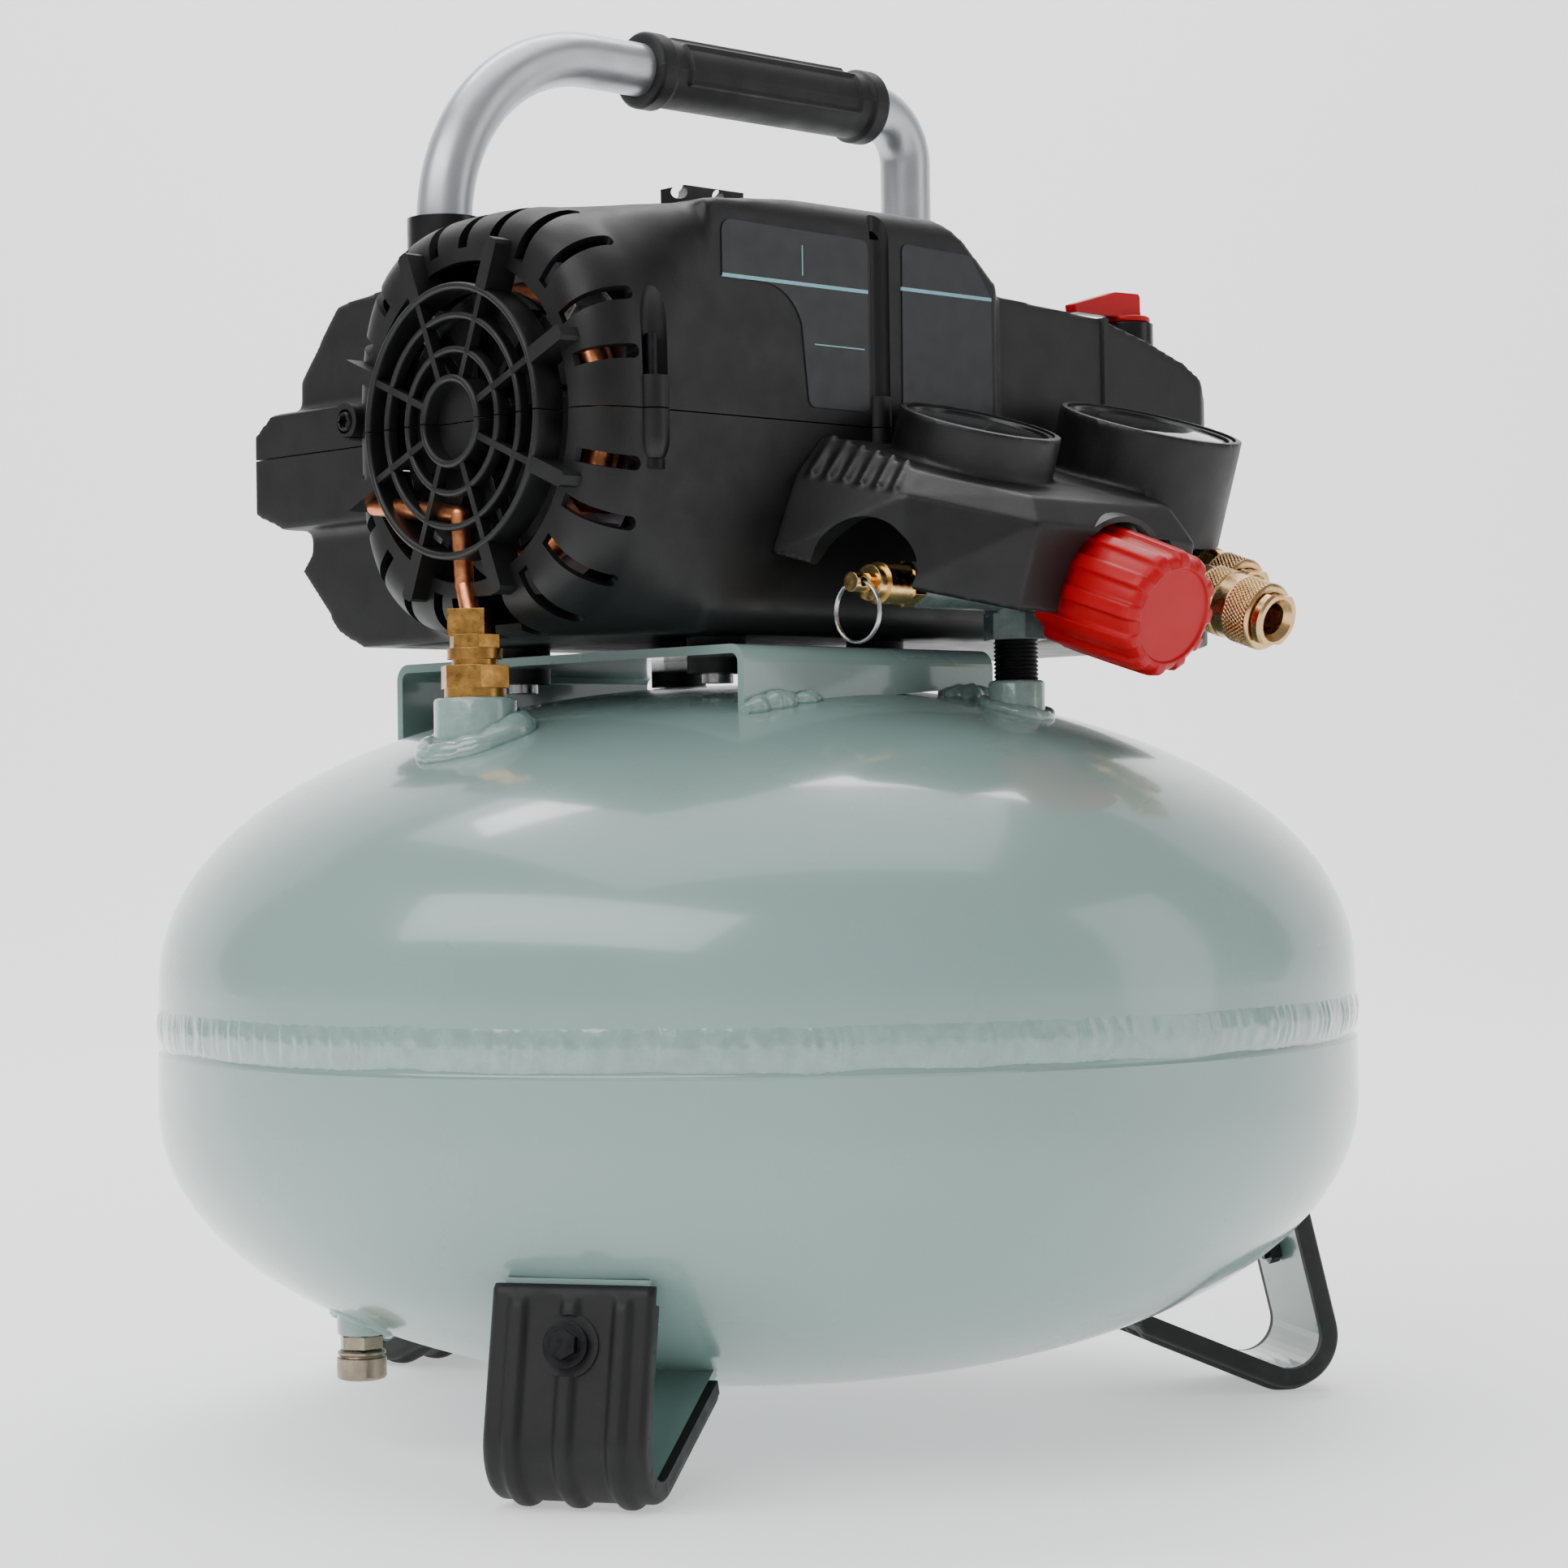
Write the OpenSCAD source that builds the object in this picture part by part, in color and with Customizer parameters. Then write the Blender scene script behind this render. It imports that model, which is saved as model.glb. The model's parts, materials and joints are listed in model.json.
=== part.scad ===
// Pancake air compressor: low round tank, direct-drive piston pump under a split shroud,
// pressure manifold under a console, carry handle over the pump.
// Millimetres. +Z is up, the origin is on the floor on the tank's axis, the motor shaft runs along X,
// the fan end faces -X and the gauges and couplers face -Y.

/* [Tank] */
// Radius of the upper shell at the seam
tank_r = 206; // [200:0.5:206]
// Thickness of the tank's steel
tank_wall = 2.4; // [2:0.1:3]
// Height of the girth seam above the floor
seam_z = 138; // [136:0.5:140]
// Height of the upper dome above its springing
dome_rise = 100.9; // [99:0.1:101]
// Depth of the lower dome below its springing
dome_drop = 97.7; // [96:0.1:98]

/* [Feet] */
// Width of each foot strap
foot_w = 51; // [44:1:54]
// Thickness of the foot's rubber
foot_rubber_t = 5.5; // [4:0.5:6]
// Thickness of the foot's steel strap
foot_strap_t = 3.2; // [2.5:0.1:4]

/* [Pump] */
// Height of the motor shaft above the floor
shaft_z = 336; // [335:0.5:337]
// Crank throw, half of the piston's stroke
throw = 7; // [5:0.5:7]
// Bore radius of the cylinder
bore_r = 26.5; // [26:0.1:27]
// Radius of the motor's laminations
stator_r = 55; // [52:0.5:56]
// Radius of the cooling fan
fan_r = 44; // [38:0.5:45]

/* [Handle] */
// Radius of the handle tube
handle_r = 9.75; // [9:0.25:10]
// Height of the handle's grip above the floor
handle_z = 480; // [476:1:482]
// Radius of the rubber grip
grip_r = 14; // [12.5:0.5:14.5]

/* [Fittings] */
// Tilt of the gauges, the regulator and the couplers towards the front
tilt = 18; // [16:0.5:20]
// Radius of the plug bore in each coupler
plug_bore_r = 5.3; // [4.5:0.1:5.5]
// Radius of the left gauge cup
small_cup_r = 27.5; // [26:0.5:28]
// Radius of the right gauge cup
large_cup_r = 32; // [30:0.5:32]
// Radius of the regulator knob
knob_r = 22; // [20:0.5:22.5]

/* [Hidden] */
$fn = 64;
e = 0.01;

// Colours
sage = [0.57, 0.66, 0.63];
black = [0.10, 0.10, 0.11];
steel = [0.62, 0.63, 0.65];
silver = [0.74, 0.75, 0.77];
brass = [0.80, 0.64, 0.34];
copper = [0.72, 0.42, 0.26];
alu = [0.68, 0.69, 0.70];
red = [0.78, 0.05, 0.09];

// Tank: two domes with superelliptic outlines
low_r = tank_r + 0.6;
top_spring = 151.1;
low_spring = 111.6;
dome_n = 2.13;
dome_steps = 22;
bead_r = tank_r + 1.9;
function dome(r, rise, spring, way) = [for (i = [0:dome_steps]) let (t = 90 * i / dome_steps)
    [r * pow(max(0, cos(t)), 2 / dome_n), spring + way * rise * pow(sin(t), 2 / dome_n)]];
function reversed(p) = [for (i = [len(p) - 1:-1:0]) p[i]];
function arc(x, y, r, a, b, n = 8) = [for (i = [0:n]) let (t = a + (b - a) * i / n)
    [x + r * cos(t), y + r * sin(t)]];
// A rectangle with four rounded corners
function round_box(x0, x1, y0, y1, r) = concat(arc(x1 - r, y0 + r, r, -90, 0), arc(x1 - r, y1 - r, r, 0, 90),
    arc(x0 + r, y1 - r, r, 90, 180), arc(x0 + r, y0 + r, r, 180, 270));

check_x = -128;
check_y = -5;
drain_x = -145;
drain_y = 38;
feet = [90, 210, 330];
foot_x = 186;
foot_arc_r = 20;
foot_lean = 13.4;
foot_slope = 23;
strap_w = foot_w - 6;

// Pump and motor stations along X
fan_x = -122;
stator_x = [-97, -51];
crank_x = -3;
plate_y = 82;
head_half = 36;
bolt_half = 29;
base_z = 270;
base_t = 3;
bracket_z = 262;
mounts = [[-50, -36], [-50, 66], [24, -36], [24, 66]];
bearing_r = 11;
shaft_r = 6;
pin_r = 8;
run_gap = 0.05;

// Manifold and console
man_y = -100;
man_z = 281;
riser_x = 27;
axis_z = 8.5;
knob_x = 33;
couplers = [[85, -14], [115, 23]];
coupler_len = 51.5;
sleeve_r = 11.5;
cups = [[13.5, 19, 52.5, small_cup_r], [93.5, 15, 58, large_cup_r]];
cup_floor = 30;
hole_x = -47;
ring_r = 9.5;
ring_wire = 0.9;

// Shroud
fan_face_x = -134;
shroud_front = -67;
shroud_t = 2.4;
side_round = 12;
ring_radii = [15, 24.5, 35.5, 45];
opening_r = 52.5;
posts = [-79, 150];
post_y = 70;
left_bend = 66;
right_bend = 20;
screw_spots = [[-103, -65], [-2, -61], [100, -56], [-107, 63]];
// The long side's outline from above
shroud_end = 178;
shroud_plan = [[-120, -67], [56, -67], [60, -63], [168, -63], [174, -60], [shroud_end, -50], [shroud_end, 90],
    [-120, 90]];
lever_x = 152;
lever_y = -42;

module along_x(x) translate([x, 0, 0]) rotate([0, 90, 0]) children();
module at_shaft() translate([0, 0, shaft_z]) children();
module rod_x(r, x0, x1) along_x(x0) cylinder(r = r, h = x1 - x0);
module rod_y(r, y0, y1) translate([0, y1, 0]) rotate([90, 0, 0]) cylinder(r = r, h = y1 - y0);
module block(x, y, z) translate([x[0], y[0], z[0]]) cube([x[1] - x[0], y[1] - y[0], z[1] - z[0]]);
module console_frame() translate([0, man_y, man_z]) rotate([tilt, 0, 0]) children();
module hex(across, h) cylinder(r = across / sqrt(3), h = h, $fn = 6);
// A round bar through a list of points, with a ball at each corner
module bar_path(p, r) {
    for (i = [0:len(p) - 2]) {
        d = p[i + 1] - p[i];
        translate(p[i]) rotate([0, acos(d[2] / norm(d)), atan2(d[1], d[0])]) cylinder(r = r, h = norm(d));
    }
    for (i = [1:len(p) - 2]) translate(p[i]) sphere(r = r);
}

// ---- Tank ----
module upper_outline(inset) {
    outer = dome(tank_r, dome_rise, top_spring, 1);
    inner = dome(tank_r - inset, dome_rise - inset, top_spring, 1);
    polygon(concat([[tank_r, seam_z]], outer, reversed(inner), [[tank_r - inset, seam_z]]));
}
module lower_outline(inset) {
    outer = dome(low_r, dome_drop, low_spring, -1);
    inner = dome(low_r - inset, dome_drop - inset, low_spring, -1);
    polygon(concat([[low_r, seam_z]], outer, reversed(inner), [[low_r - inset, seam_z]]));
}
module tank_upper_shell() color(sage) difference() {
    rotate_extrude($fn = 120) upper_outline(tank_wall);
    translate([check_x, check_y, 200]) cylinder(r = 9, h = 60);
    translate([riser_x, man_y, 200]) cylinder(r = 5, h = 60);
}
module tank_lower_shell() color(sage) difference() {
    rotate_extrude($fn = 120) lower_outline(tank_wall);
    translate([drain_x, drain_y, 20]) cylinder(r = 5, h = 60);
}
module girth_weld() color(sage) rotate_extrude($fn = 120) polygon([[low_r, 131], [low_r + 0.9, 133.5],
    [bead_r, 136.5], [bead_r, 139.5], [bead_r - 0.6, 142.5], [tank_r, 145], [tank_r, seam_z],
    [low_r, seam_z]]);
// A welded socket: a turned collar with a conical fillet and a tapped bore
module boss(r, bore, z0, z1, fillet_z, fillet_r) difference() {
    union() {
        translate([0, 0, z0]) cylinder(r = r, h = z1 - z0);
        translate([0, 0, fillet_z]) cylinder(r1 = fillet_r, r2 = r, h = abs(fillet_r - r) + 3);
    }
    translate([0, 0, z0 - 9]) cylinder(r = bore, h = z1 - z0 + 18);
}
module tank_bosses() color(sage) {
    translate([check_x, check_y, 0]) boss(13.5, 9, 217, 246, 226, 20);
    translate([riser_x, man_y, 0]) boss(9.5, 5, 236, 250.5, 238, 15);
    translate([drain_x, drain_y, 0]) mirror([0, 0, 1]) boss(8, 5, -57, -37.7, -44, 11);
}

// ---- Feet ----
// The foot's bent outline between two depths inwards from the rubber's outer face
function foot_side(depth, top, run) = let (r = foot_arc_r - depth, b = 180 + 90 - foot_slope,
    c = [foot_x, foot_arc_r - 0.4], from = c + r * [cos(foot_lean), sin(foot_lean)],
    to = c + r * [cos(b), sin(b)], up = (top - from[1]) / sin(90 + foot_lean))
    concat([from + up * [cos(90 + foot_lean), sin(90 + foot_lean)]],
        arc(c[0], c[1], r, foot_lean, b - 360, 10),
        [to + run * [cos(b - 90), sin(b - 90)]]);
module foot_strip(d0, d1, top, run, w) rotate([90, 0, 0]) translate([0, 0, -w / 2])
    linear_extrude(w) polygon(concat(foot_side(d0, top, run), reversed(foot_side(d1, top, run))));
// A bolt's seat on the sloping face of the outer leg
module at_foot_bolt() translate([foot_x + 13.35, 0, 50]) rotate([0, 90 - foot_lean, 0]) children();
module foot_straps() color(sage) for (a = feet) rotate(a) difference() {
    foot_strip(foot_rubber_t, foot_rubber_t + foot_strap_t, 68.5, 62, strap_w);
    at_foot_bolt() translate([0, 0, -20]) cylinder(r = 2.6, h = 30);
}
module foot_rubbers() color(black) for (a = feet) rotate(a) difference() {
    union() {
        foot_strip(0, foot_rubber_t, 68, 54, foot_w);
        for (side = [-1, 1]) translate([0, side * (foot_w + strap_w) / 4, 0])
            foot_strip(foot_rubber_t - e, foot_rubber_t + foot_strap_t, 62, 54, (foot_w - strap_w) / 2);
    }
    at_foot_bolt() translate([0, 0, -20]) cylinder(r = 2.6, h = 30);
    translate([0, 0, -5]) cylinder(r = 300, h = 5);
}
module foot_bolts() color(black) for (a = feet) rotate(a) at_foot_bolt() {
    translate([0, 0, 0.1]) cylinder(r = 7, h = 1.2);
    hex(8, 4.2);
    translate([0, 0, -15]) cylinder(r = 2.4, h = 15 + e);
    translate([0, 0, -13.2]) hex(8, 4);
}

// ---- Pump mounting ----
module motor_bracket() color(sage) difference() {
    translate([-74, 0, 0]) rotate([90, 0, 90]) linear_extrude(116) polygon(concat(
        [[-75, 236]], arc(-69, bracket_z - 6, 6, 180, 90), arc(101, bracket_z - 6, 6, 90, 0), [[107, 230]],
        [[104, 230]], arc(101, bracket_z - 6, 3, 0, 90), arc(-69, bracket_z - 6, 3, 90, 180), [[-72, 236]]));
    for (m = mounts) translate([m[0], m[1], 250]) cylinder(r = 7, h = 20);
    translate([-16, -60, 244]) rotate([90, 0, 0]) linear_extrude(30)
        polygon([[-34, -20], [-34, -1], [34, 4], [34, -20]]);
}
module rubber_mounts() color(black) for (m = mounts) translate([m[0], m[1], bracket_z]) difference() {
    union() {
        cylinder(r = 10, h = 8);
        translate([0, 0, -3]) cylinder(r = 7, h = 3);
        translate([0, 0, -8]) cylinder(r = 10, h = 5);
    }
    translate([0, 0, -20]) cylinder(r = 3, h = 50);
}
module mount_screws() color(steel) for (m = mounts) translate([m[0], m[1], bracket_z]) {
    translate([0, 0, -11.2]) cylinder(r = 5.5, h = 3.2);
    translate([0, 0, -8 - e]) cylinder(r = 3, h = 24);
    translate([0, 0, 11]) hex(10, 5);
}
module motor_base() color(black) difference() {
    union() {
        block([-100, 57], [-46, 78], [base_z, base_z + base_t]);
        block([56, 156], [-46, 44], [base_z, base_z + base_t]);
        block([-94, -64], [77, 84], [base_z, base_z + base_t]);
        block([137, 160], [43, 83], [base_z, base_z + base_t]);
        block([-90, -58], [-24, 24], [base_z + base_t - e, 286]);
    }
    for (m = mounts) translate([m[0], m[1], 260]) cylinder(r = 3, h = 20);
    at_shaft() rod_x(stator_r + run_gap * 2, -100, -40);
}

// ---- Motor ----
module at_tie_bolts() at_shaft() for (a = [45:90:315]) rotate([a, 0, 0]) translate([0, 0, 51.5]) children();
module motor_stator() color(steel) difference() {
    at_shaft() rod_x(stator_r, stator_x[0], stator_x[1]);
    at_shaft() rod_x(30.4, stator_x[0] - 1, stator_x[1] + 1);
    at_tie_bolts() rod_x(2.1, stator_x[0] - 1, stator_x[1] + 1);
}
module stator_windings() color(copper) at_shaft() for (x = [stator_x[0] - 5.7, stator_x[1] + 5.7])
    along_x(x) rotate_extrude() translate([42, 0]) circle(r = 5.7, $fn = 24);
module front_bracket() color(alu) difference() {
    union() {
        at_shaft() rod_x(17, -114, -106);
        for (a = [45:90:315]) at_shaft() rotate([a, 0, 0]) {
            block([-114, -110.5], [-5, 5], [10, 54]);
            block([-114, stator_x[0]], [-5, 5], [49, 54]);
        }
    }
    at_shaft() rod_x(bearing_r, -115, -105);
    at_tie_bolts() rod_x(2.1, -115, -90);
}
module motor_bearings() color(steel) at_shaft() for (x = [-113, -34]) difference() {
    rod_x(bearing_r, x, x + 7);
    rod_x(shaft_r + run_gap, x - 1, x + 8);
}
module tie_bolts() color(steel) at_tie_bolts() {
    rod_x(2, -115, -28);
    along_x(-117) hex(7, 3);
}
module motor_shaft() color(steel) at_shaft() rod_x(shaft_r, -125, -12);
module rotor_core() color(steel) at_shaft() difference() {
    union() {
        rod_x(30, stator_x[0], stator_x[1]);
        rod_x(27, stator_x[0] - 5, stator_x[1] + 5);
    }
    rod_x(shaft_r, stator_x[0] - 6, stator_x[1] + 6);
}
module cooling_fan() color(black) at_shaft() difference() {
    union() {
        rod_x(13, fan_x, -115);
        rod_x(fan_r, -117, -115);
        for (a = [0:40:320]) rotate([a, 0, 0]) block([fan_x, -116], [-1, 1], [10, fan_r]);
    }
    rod_x(shaft_r, fan_x - 1, -114);
}

// ---- Crank, cylinder and head ----
module crankcase() color(alu) difference() {
    union() {
        at_shaft() rod_x(46, -34, 34);
        block([-34, 34], [-26, 26], [base_z + base_t, shaft_z - 36]);
        translate([crank_x, 0, shaft_z]) rod_y(35, 20, 53);
        block([crank_x - head_half, crank_x + head_half], [52, 60],
            [shaft_z - head_half, shaft_z + head_half]);
        at_tie_bolts() block([-46, -34 + e], [-4, 4], [-3, 3]);
        at_tie_bolts() block([-34, -28], [-4, 4], [-10, 3]);
        at_shaft() for (a = [45:90:315]) rotate([a, 0, 0]) block([stator_x[1], -40], [-5, 5], [49, 54]);
    }
    at_shaft() rod_x(42, -27, 40);
    at_shaft() rod_x(bearing_r, -50, -26);
    translate([crank_x, 0, shaft_z]) rod_y(bore_r + 2.5 + run_gap, 20, 61);
    at_tie_bolts() rod_x(2.1, -60, -20);
    for (x = [-1, 1], z = [-1, 1]) translate([crank_x + x * bolt_half, 0, shaft_z + z * bolt_half])
        rod_y(2.6, 45, 61);
}
module crankcase_cover() color(alu) at_shaft() difference() {
    rod_x(46, 34, 37);
    for (a = [30:60:330]) rotate([a, 0, 0]) translate([0, 0, 26]) rod_x(4, 33, 38);
}
module cylinder_sleeve() color(alu) translate([crank_x, 0, shaft_z]) difference() {
    union() {
        rod_y(bore_r + 2.5, 40, plate_y);
        for (y = [63:5:78]) rod_y(bore_r + 7, y, y + 2);
    }
    rod_y(bore_r, 39, plate_y + 1);
    for (x = [-1, 1], z = [-1, 1]) translate([x * bolt_half, 0, z * bolt_half]) rod_y(3, 60, 81);
}
module valve_plate() color(steel) translate([crank_x, 0, shaft_z]) difference() {
    block([-head_half, head_half], [plate_y, plate_y + 4], [-head_half, head_half]);
    for (x = [-14, 14]) translate([x, 0, 0]) rod_y(4, plate_y - 1, plate_y + 5);
    for (x = [-1, 1], z = [-1, 1]) translate([x * bolt_half, 0, z * bolt_half]) rod_y(2.6, 80, 90);
}
module reed_valves() color(steel) translate([crank_x, 0, shaft_z]) {
    block([-19, -9], [plate_y - 0.4, plate_y], [-8, 14]);
    block([8, 20], [plate_y + 4, plate_y + 4.4], [-8, 20]);
}
module cylinder_head() color(alu) translate([crank_x, 0, shaft_z]) difference() {
    block([-head_half, head_half], [plate_y + 4, plate_y + 28], [-head_half, head_half]);
    for (x = [-24, 3]) block([x, x + 21], [plate_y + 3, plate_y + 16], [-24, 24]);
    for (x = [-22:11:22]) block([x - 3, x + 3], [plate_y + 20, plate_y + 29], [-40, 40]);
    translate([0, 98, 14]) rod_x(5, 20, 40);
    translate([0, 98, -18]) rod_x(2, -40, -20);
    for (x = [-1, 1], z = [-1, 1]) translate([x * bolt_half, 0, z * bolt_half]) rod_y(2.6, 80, 120);
}
module head_bolts() color(steel) for (x = [-1, 1], z = [-1, 1])
    translate([crank_x + x * bolt_half, 0, shaft_z + z * bolt_half]) {
        rod_y(2.5, 48, plate_y + 28 + e);
        translate([0, plate_y + 32, 0]) rotate([90, 0, 0]) hex(8, 4);
    }
module intake_filter() color(black) translate([0, 98, shaft_z + 14]) {
    rod_x(5, 24, 38);
    difference() {
        rod_x(12, 38, 57);
        rod_x(9.5, 42, 58);
    }
}
module discharge_tube() color(copper) bar_path([
    [crank_x - head_half, 98, 318], [-96, 98, 318], [-96, 58, 312], [-127, 48, 312], [-127, 3, 306],
    [-127, 1, 283], [-128, -4, 271]], 3.2);
module check_valve() color(brass) translate([check_x, check_y, 0]) difference() {
    union() {
        translate([0, 0, 232]) cylinder(r = 9, h = 17);
        translate([0, 0, 249]) hex(20.4, 7.5);
        translate([0, 0, 246]) cylinder(r = 10, h = 3);
        translate([0, 0, 256]) cylinder(r = 7.5, h = 3);
        translate([0, 0, 258.5]) cylinder(r = 9, h = 3.5);
        translate([0, 0, 262]) hex(15, 4.5);
        translate([0, 0, 266]) rotate(35) block([-4, 4], [-4.5, 8], [0, 9]);
    }
    translate([0, 0, 231]) cylinder(r = 5, h = 30);
}

// ---- Shafted crank parts ----
module crank_eccentric() color(steel) at_shaft() difference() {
    union() {
        rod_x(13, -24, -12);
        translate([0, throw, 0]) rod_x(pin_r, -12 - e, 5);
        intersection() {
            rod_x(30, -24, -13);
            block([-30, 0], [-40, -4], [-40, 40]);
        }
    }
    rod_x(shaft_r, -25, -12);
}
module piston_rod() color(alu) translate([0, throw, shaft_z]) difference() {
    union() {
        rod_x(13.5, -9, 3);
        block([-8, 2], [10, 66], [-6, 6]);
        translate([crank_x, 0, 0]) rod_y(bore_r - throw - 1.5, 65, 69);
    }
    rod_x(pin_r + run_gap, -10, 4);
}
module piston_seal() color([0.85, 0.82, 0.76]) translate([crank_x, throw, shaft_z]) {
    rod_y(bore_r - throw - 0.5, 69, 70.5);
    rod_y(bore_r - throw - 2.5, 70.5 - e, 73.5);
}

// ---- Manifold, regulator and couplers ----
module outlet_nipple() color(steel) translate([riser_x, man_y, 0]) difference() {
    union() {
        translate([0, 0, 240]) cylinder(r = 5, h = 10.5 + e);
        translate([0, 0, 250.5]) cylinder(r = 7.6, h = 13.5);
    }
    translate([0, 0, 239]) cylinder(r = 3.2, h = 30);
}
module manifold() color([0.47, 0.53, 0.51]) {
    difference() {
        union() {
            translate([0, man_y, man_z]) rod_x(7.5, -22, knob_x);
            translate([riser_x, man_y, 264]) hex(19, 9);
            translate([riser_x, man_y, 272]) cylinder(r = 10, h = 9);
            translate([riser_x, man_y, man_z]) sphere(r = 10.4);
            console_frame() {
                translate([knob_x, 0, axis_z]) rod_y(15, -14, 12);
                translate([0, 0, axis_z]) rod_x(7.5, knob_x, 80);
                block([73, 103], [4, 35], [0.5, 16.5]);
                block([98, 126], [23, 35], [0.5, 16.5]);
                translate([couplers[0][0], 0, axis_z]) rod_y(8, couplers[0][1], 5);
                translate([cups[0][0], 0, 0]) rod_y(5, 0, cups[0][1]);
                translate([cups[0][0], cups[0][1], 0]) sphere(r = 5);
                translate([cups[0][0], cups[0][1], 0]) cylinder(r = 5, h = cup_floor);
                translate([cups[1][0], cups[1][1], 16]) cylinder(r = 5, h = cup_floor - 16);
            }
        }
        translate([riser_x, man_y, 260]) cylinder(r = 4, h = 21);
        translate([0, man_y, man_z]) rod_x(4, -23, knob_x);
        console_frame() translate([0, 0, axis_z]) rod_x(4, knob_x, 78);
    }
}
module regulator_bonnet() color([0.16, 0.16, 0.17]) console_frame() translate([knob_x, 0, axis_z]) {
    rod_y(14, -50, -14);
}
module regulator_knob() color(red) console_frame() translate([knob_x, 0, axis_z]) difference() {
    union() {
        rod_y(knob_r - 0.8, -66, -22);
        for (a = [0:30:330]) rotate([0, a, 0]) block([-3.4, 3.4], [-65.5, -24], [knob_r - 5, knob_r]);
    }
    rod_y(15, -62, -21);
}
module coupler_bodies() color(brass) console_frame() for (c = couplers)
    translate([c[0], c[1], axis_z]) difference() {
        union() {
            rotate([90, 0, 0]) hex(18, 8);
            rod_y(8.4, 1 - coupler_len, -7);
            rod_y(9.8, -coupler_len, 3.5 - coupler_len);
        }
        rod_y(plug_bore_r, -coupler_len - 1, 22 - coupler_len);
        rod_y(3, -coupler_len, 1);
    }
module coupler_sleeve(c) color(brass) console_frame() translate([c[0], c[1], axis_z]) difference() {
    union() {
        rod_y(sleeve_r, 4 - coupler_len, 15 - coupler_len);
        rod_y(sleeve_r - 0.8, 14 - coupler_len, 28 - coupler_len);
        rod_y(sleeve_r, 27 - coupler_len, 36 - coupler_len);
    }
    rod_y(8.7, -coupler_len, 40 - coupler_len);
}
module coupler_sleeve_left() coupler_sleeve(couplers[0]);
module coupler_sleeve_right() coupler_sleeve(couplers[1]);

// ---- Gauges ----
module gauge_cases() color(black) console_frame() for (c = cups) translate([c[0], c[1], 0]) difference() {
    translate([0, 0, cup_floor]) cylinder(r = c[3] - 3.2, h = c[2] - 3 - cup_floor);
    translate([0, 0, cup_floor + 2]) cylinder(r = c[3] - 6.6, h = 60);
    translate([0, 0, c[2] - 10]) cylinder(r = c[3] - 5.4, h = 30);
}
module gauge_dials() color([0.92, 0.92, 0.90]) console_frame() for (c = cups)
    translate([c[0], c[1], c[2] - 10]) difference() {
        cylinder(r = c[3] - 5.5, h = 0.8);
        translate([0, 0, -1]) cylinder(r = 1.3, h = 3);
    }
module gauge_lenses() color([0.8, 0.85, 0.88, 0.35]) console_frame() for (c = cups)
    translate([c[0], c[1], c[2] - 5.5]) cylinder(r = c[3] - 5.4, h = 1.5);
module gauge_needle(c) color(red) console_frame() translate([c[0], c[1], c[2] - 14]) {
    cylinder(r = 1, h = 6);
    translate([0, 0, 5.6]) cylinder(r = 2.6, h = 1.6);
    rotate(-135) translate([0, 0, 5.8]) linear_extrude(0.7)
        polygon([[-1.2, -6], [1.2, -6], [0.4, c[3] - 9], [-0.4, c[3] - 9]]);
}
module gauge_needle_left() gauge_needle(cups[0]);
module gauge_needle_right() gauge_needle(cups[1]);

// ---- Console ----
// The cover's solid, drawn in by an inset on every side but its open back and bottom
module console_solid(i) intersection() {
    translate([0, 0, -2 - i]) linear_extrude(39) polygon([[-44 + i, 70], [-40 + i, -4.5 + i * 0.4],
        [-8 + i * 0.4, -35.5 + i], [70 - i, -35.5 + i], [70 - i, 0], [96 - i, 0], [96 - i, 70]]);
    rotate([90, 0, 90]) translate([0, 0, -60]) linear_extrude(200) polygon([[70, -5], [-40, -5], [-40, 20],
        [-34.5 + i, 28.5 - i * 0.4], [-25 + i * 0.4, 37 - i], [70, 37 - i]]);
    rotate([90, 0, 0]) translate([0, 0, -80]) linear_extrude(140)
        polygon([[-50 + i, -5], [-38.5 + i, 27 - i * 0.4], [-26 + i * 0.4, 37 - i], [100, 37 - i],
            [100, -5]]);
}
// The height a gauge cup starts from: the big one reaches down past the couplers
function cup_foot(c) = c[3] > 28 ? -3 : 34.6;
module console_cover() color(black) intersection() {
    console_frame() difference() {
        union() {
            difference() {
                console_solid(0);
                console_solid(2.4);
            }
            for (c = cups) translate([c[0], c[1], 0]) difference() {
                translate([0, 0, cup_foot(c)]) cylinder(r = c[3], h = c[2] - cup_foot(c));
                translate([0, 0, -4]) cylinder(r = c[3] - 2.6, h = 70);
            }
        }
        for (c = cups) translate([c[0], c[1], -10]) cylinder(r = c[3] - 2.6, h = 80);
        translate([knob_x, 0, axis_z]) rod_y(24, -45, -20);
        translate([0, 0, 4]) rod_x(16.5, -60, -28);
        block([-60, -28], [-16.5, 16.5], [-6, 4]);
        block([knob_x - 24, knob_x + 24], [-45, -20], [-6, axis_z]);
        block([72.6, 135], [-17, 40], [-6, 21]);
        translate([0, 0, axis_z]) rod_x(8.2, 60, 90);
    }
    block([-80, 200], [-180, shroud_front - 0.6], [250, 360]);
}

// ---- Relief valve ----
module relief_valve_body() color(brass) translate([0, man_y, man_z]) difference() {
    union() {
        rod_x(4, -22, -16);
        along_x(-27) hex(13, 5);
        rod_x(6.8, -38, -27);
        rod_x(5.8, -42, -38);
    }
    rod_x(2.05, -43, -24);
}
module relief_stem() color(brass) translate([0, man_y, man_z]) difference() {
    union() {
        rod_x(1.98, -45, -26);
        rod_x(3.2, -50, -43.5);
    }
    translate([hole_x, 0, 0]) rod_y(1.6, -5, 5);
}
module pull_ring() color(steel) translate([hole_x, man_y, man_z - ring_r]) rotate([0, 90, 0])
    rotate_extrude() translate([ring_r, 0]) circle(r = ring_wire, $fn = 16);

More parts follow.
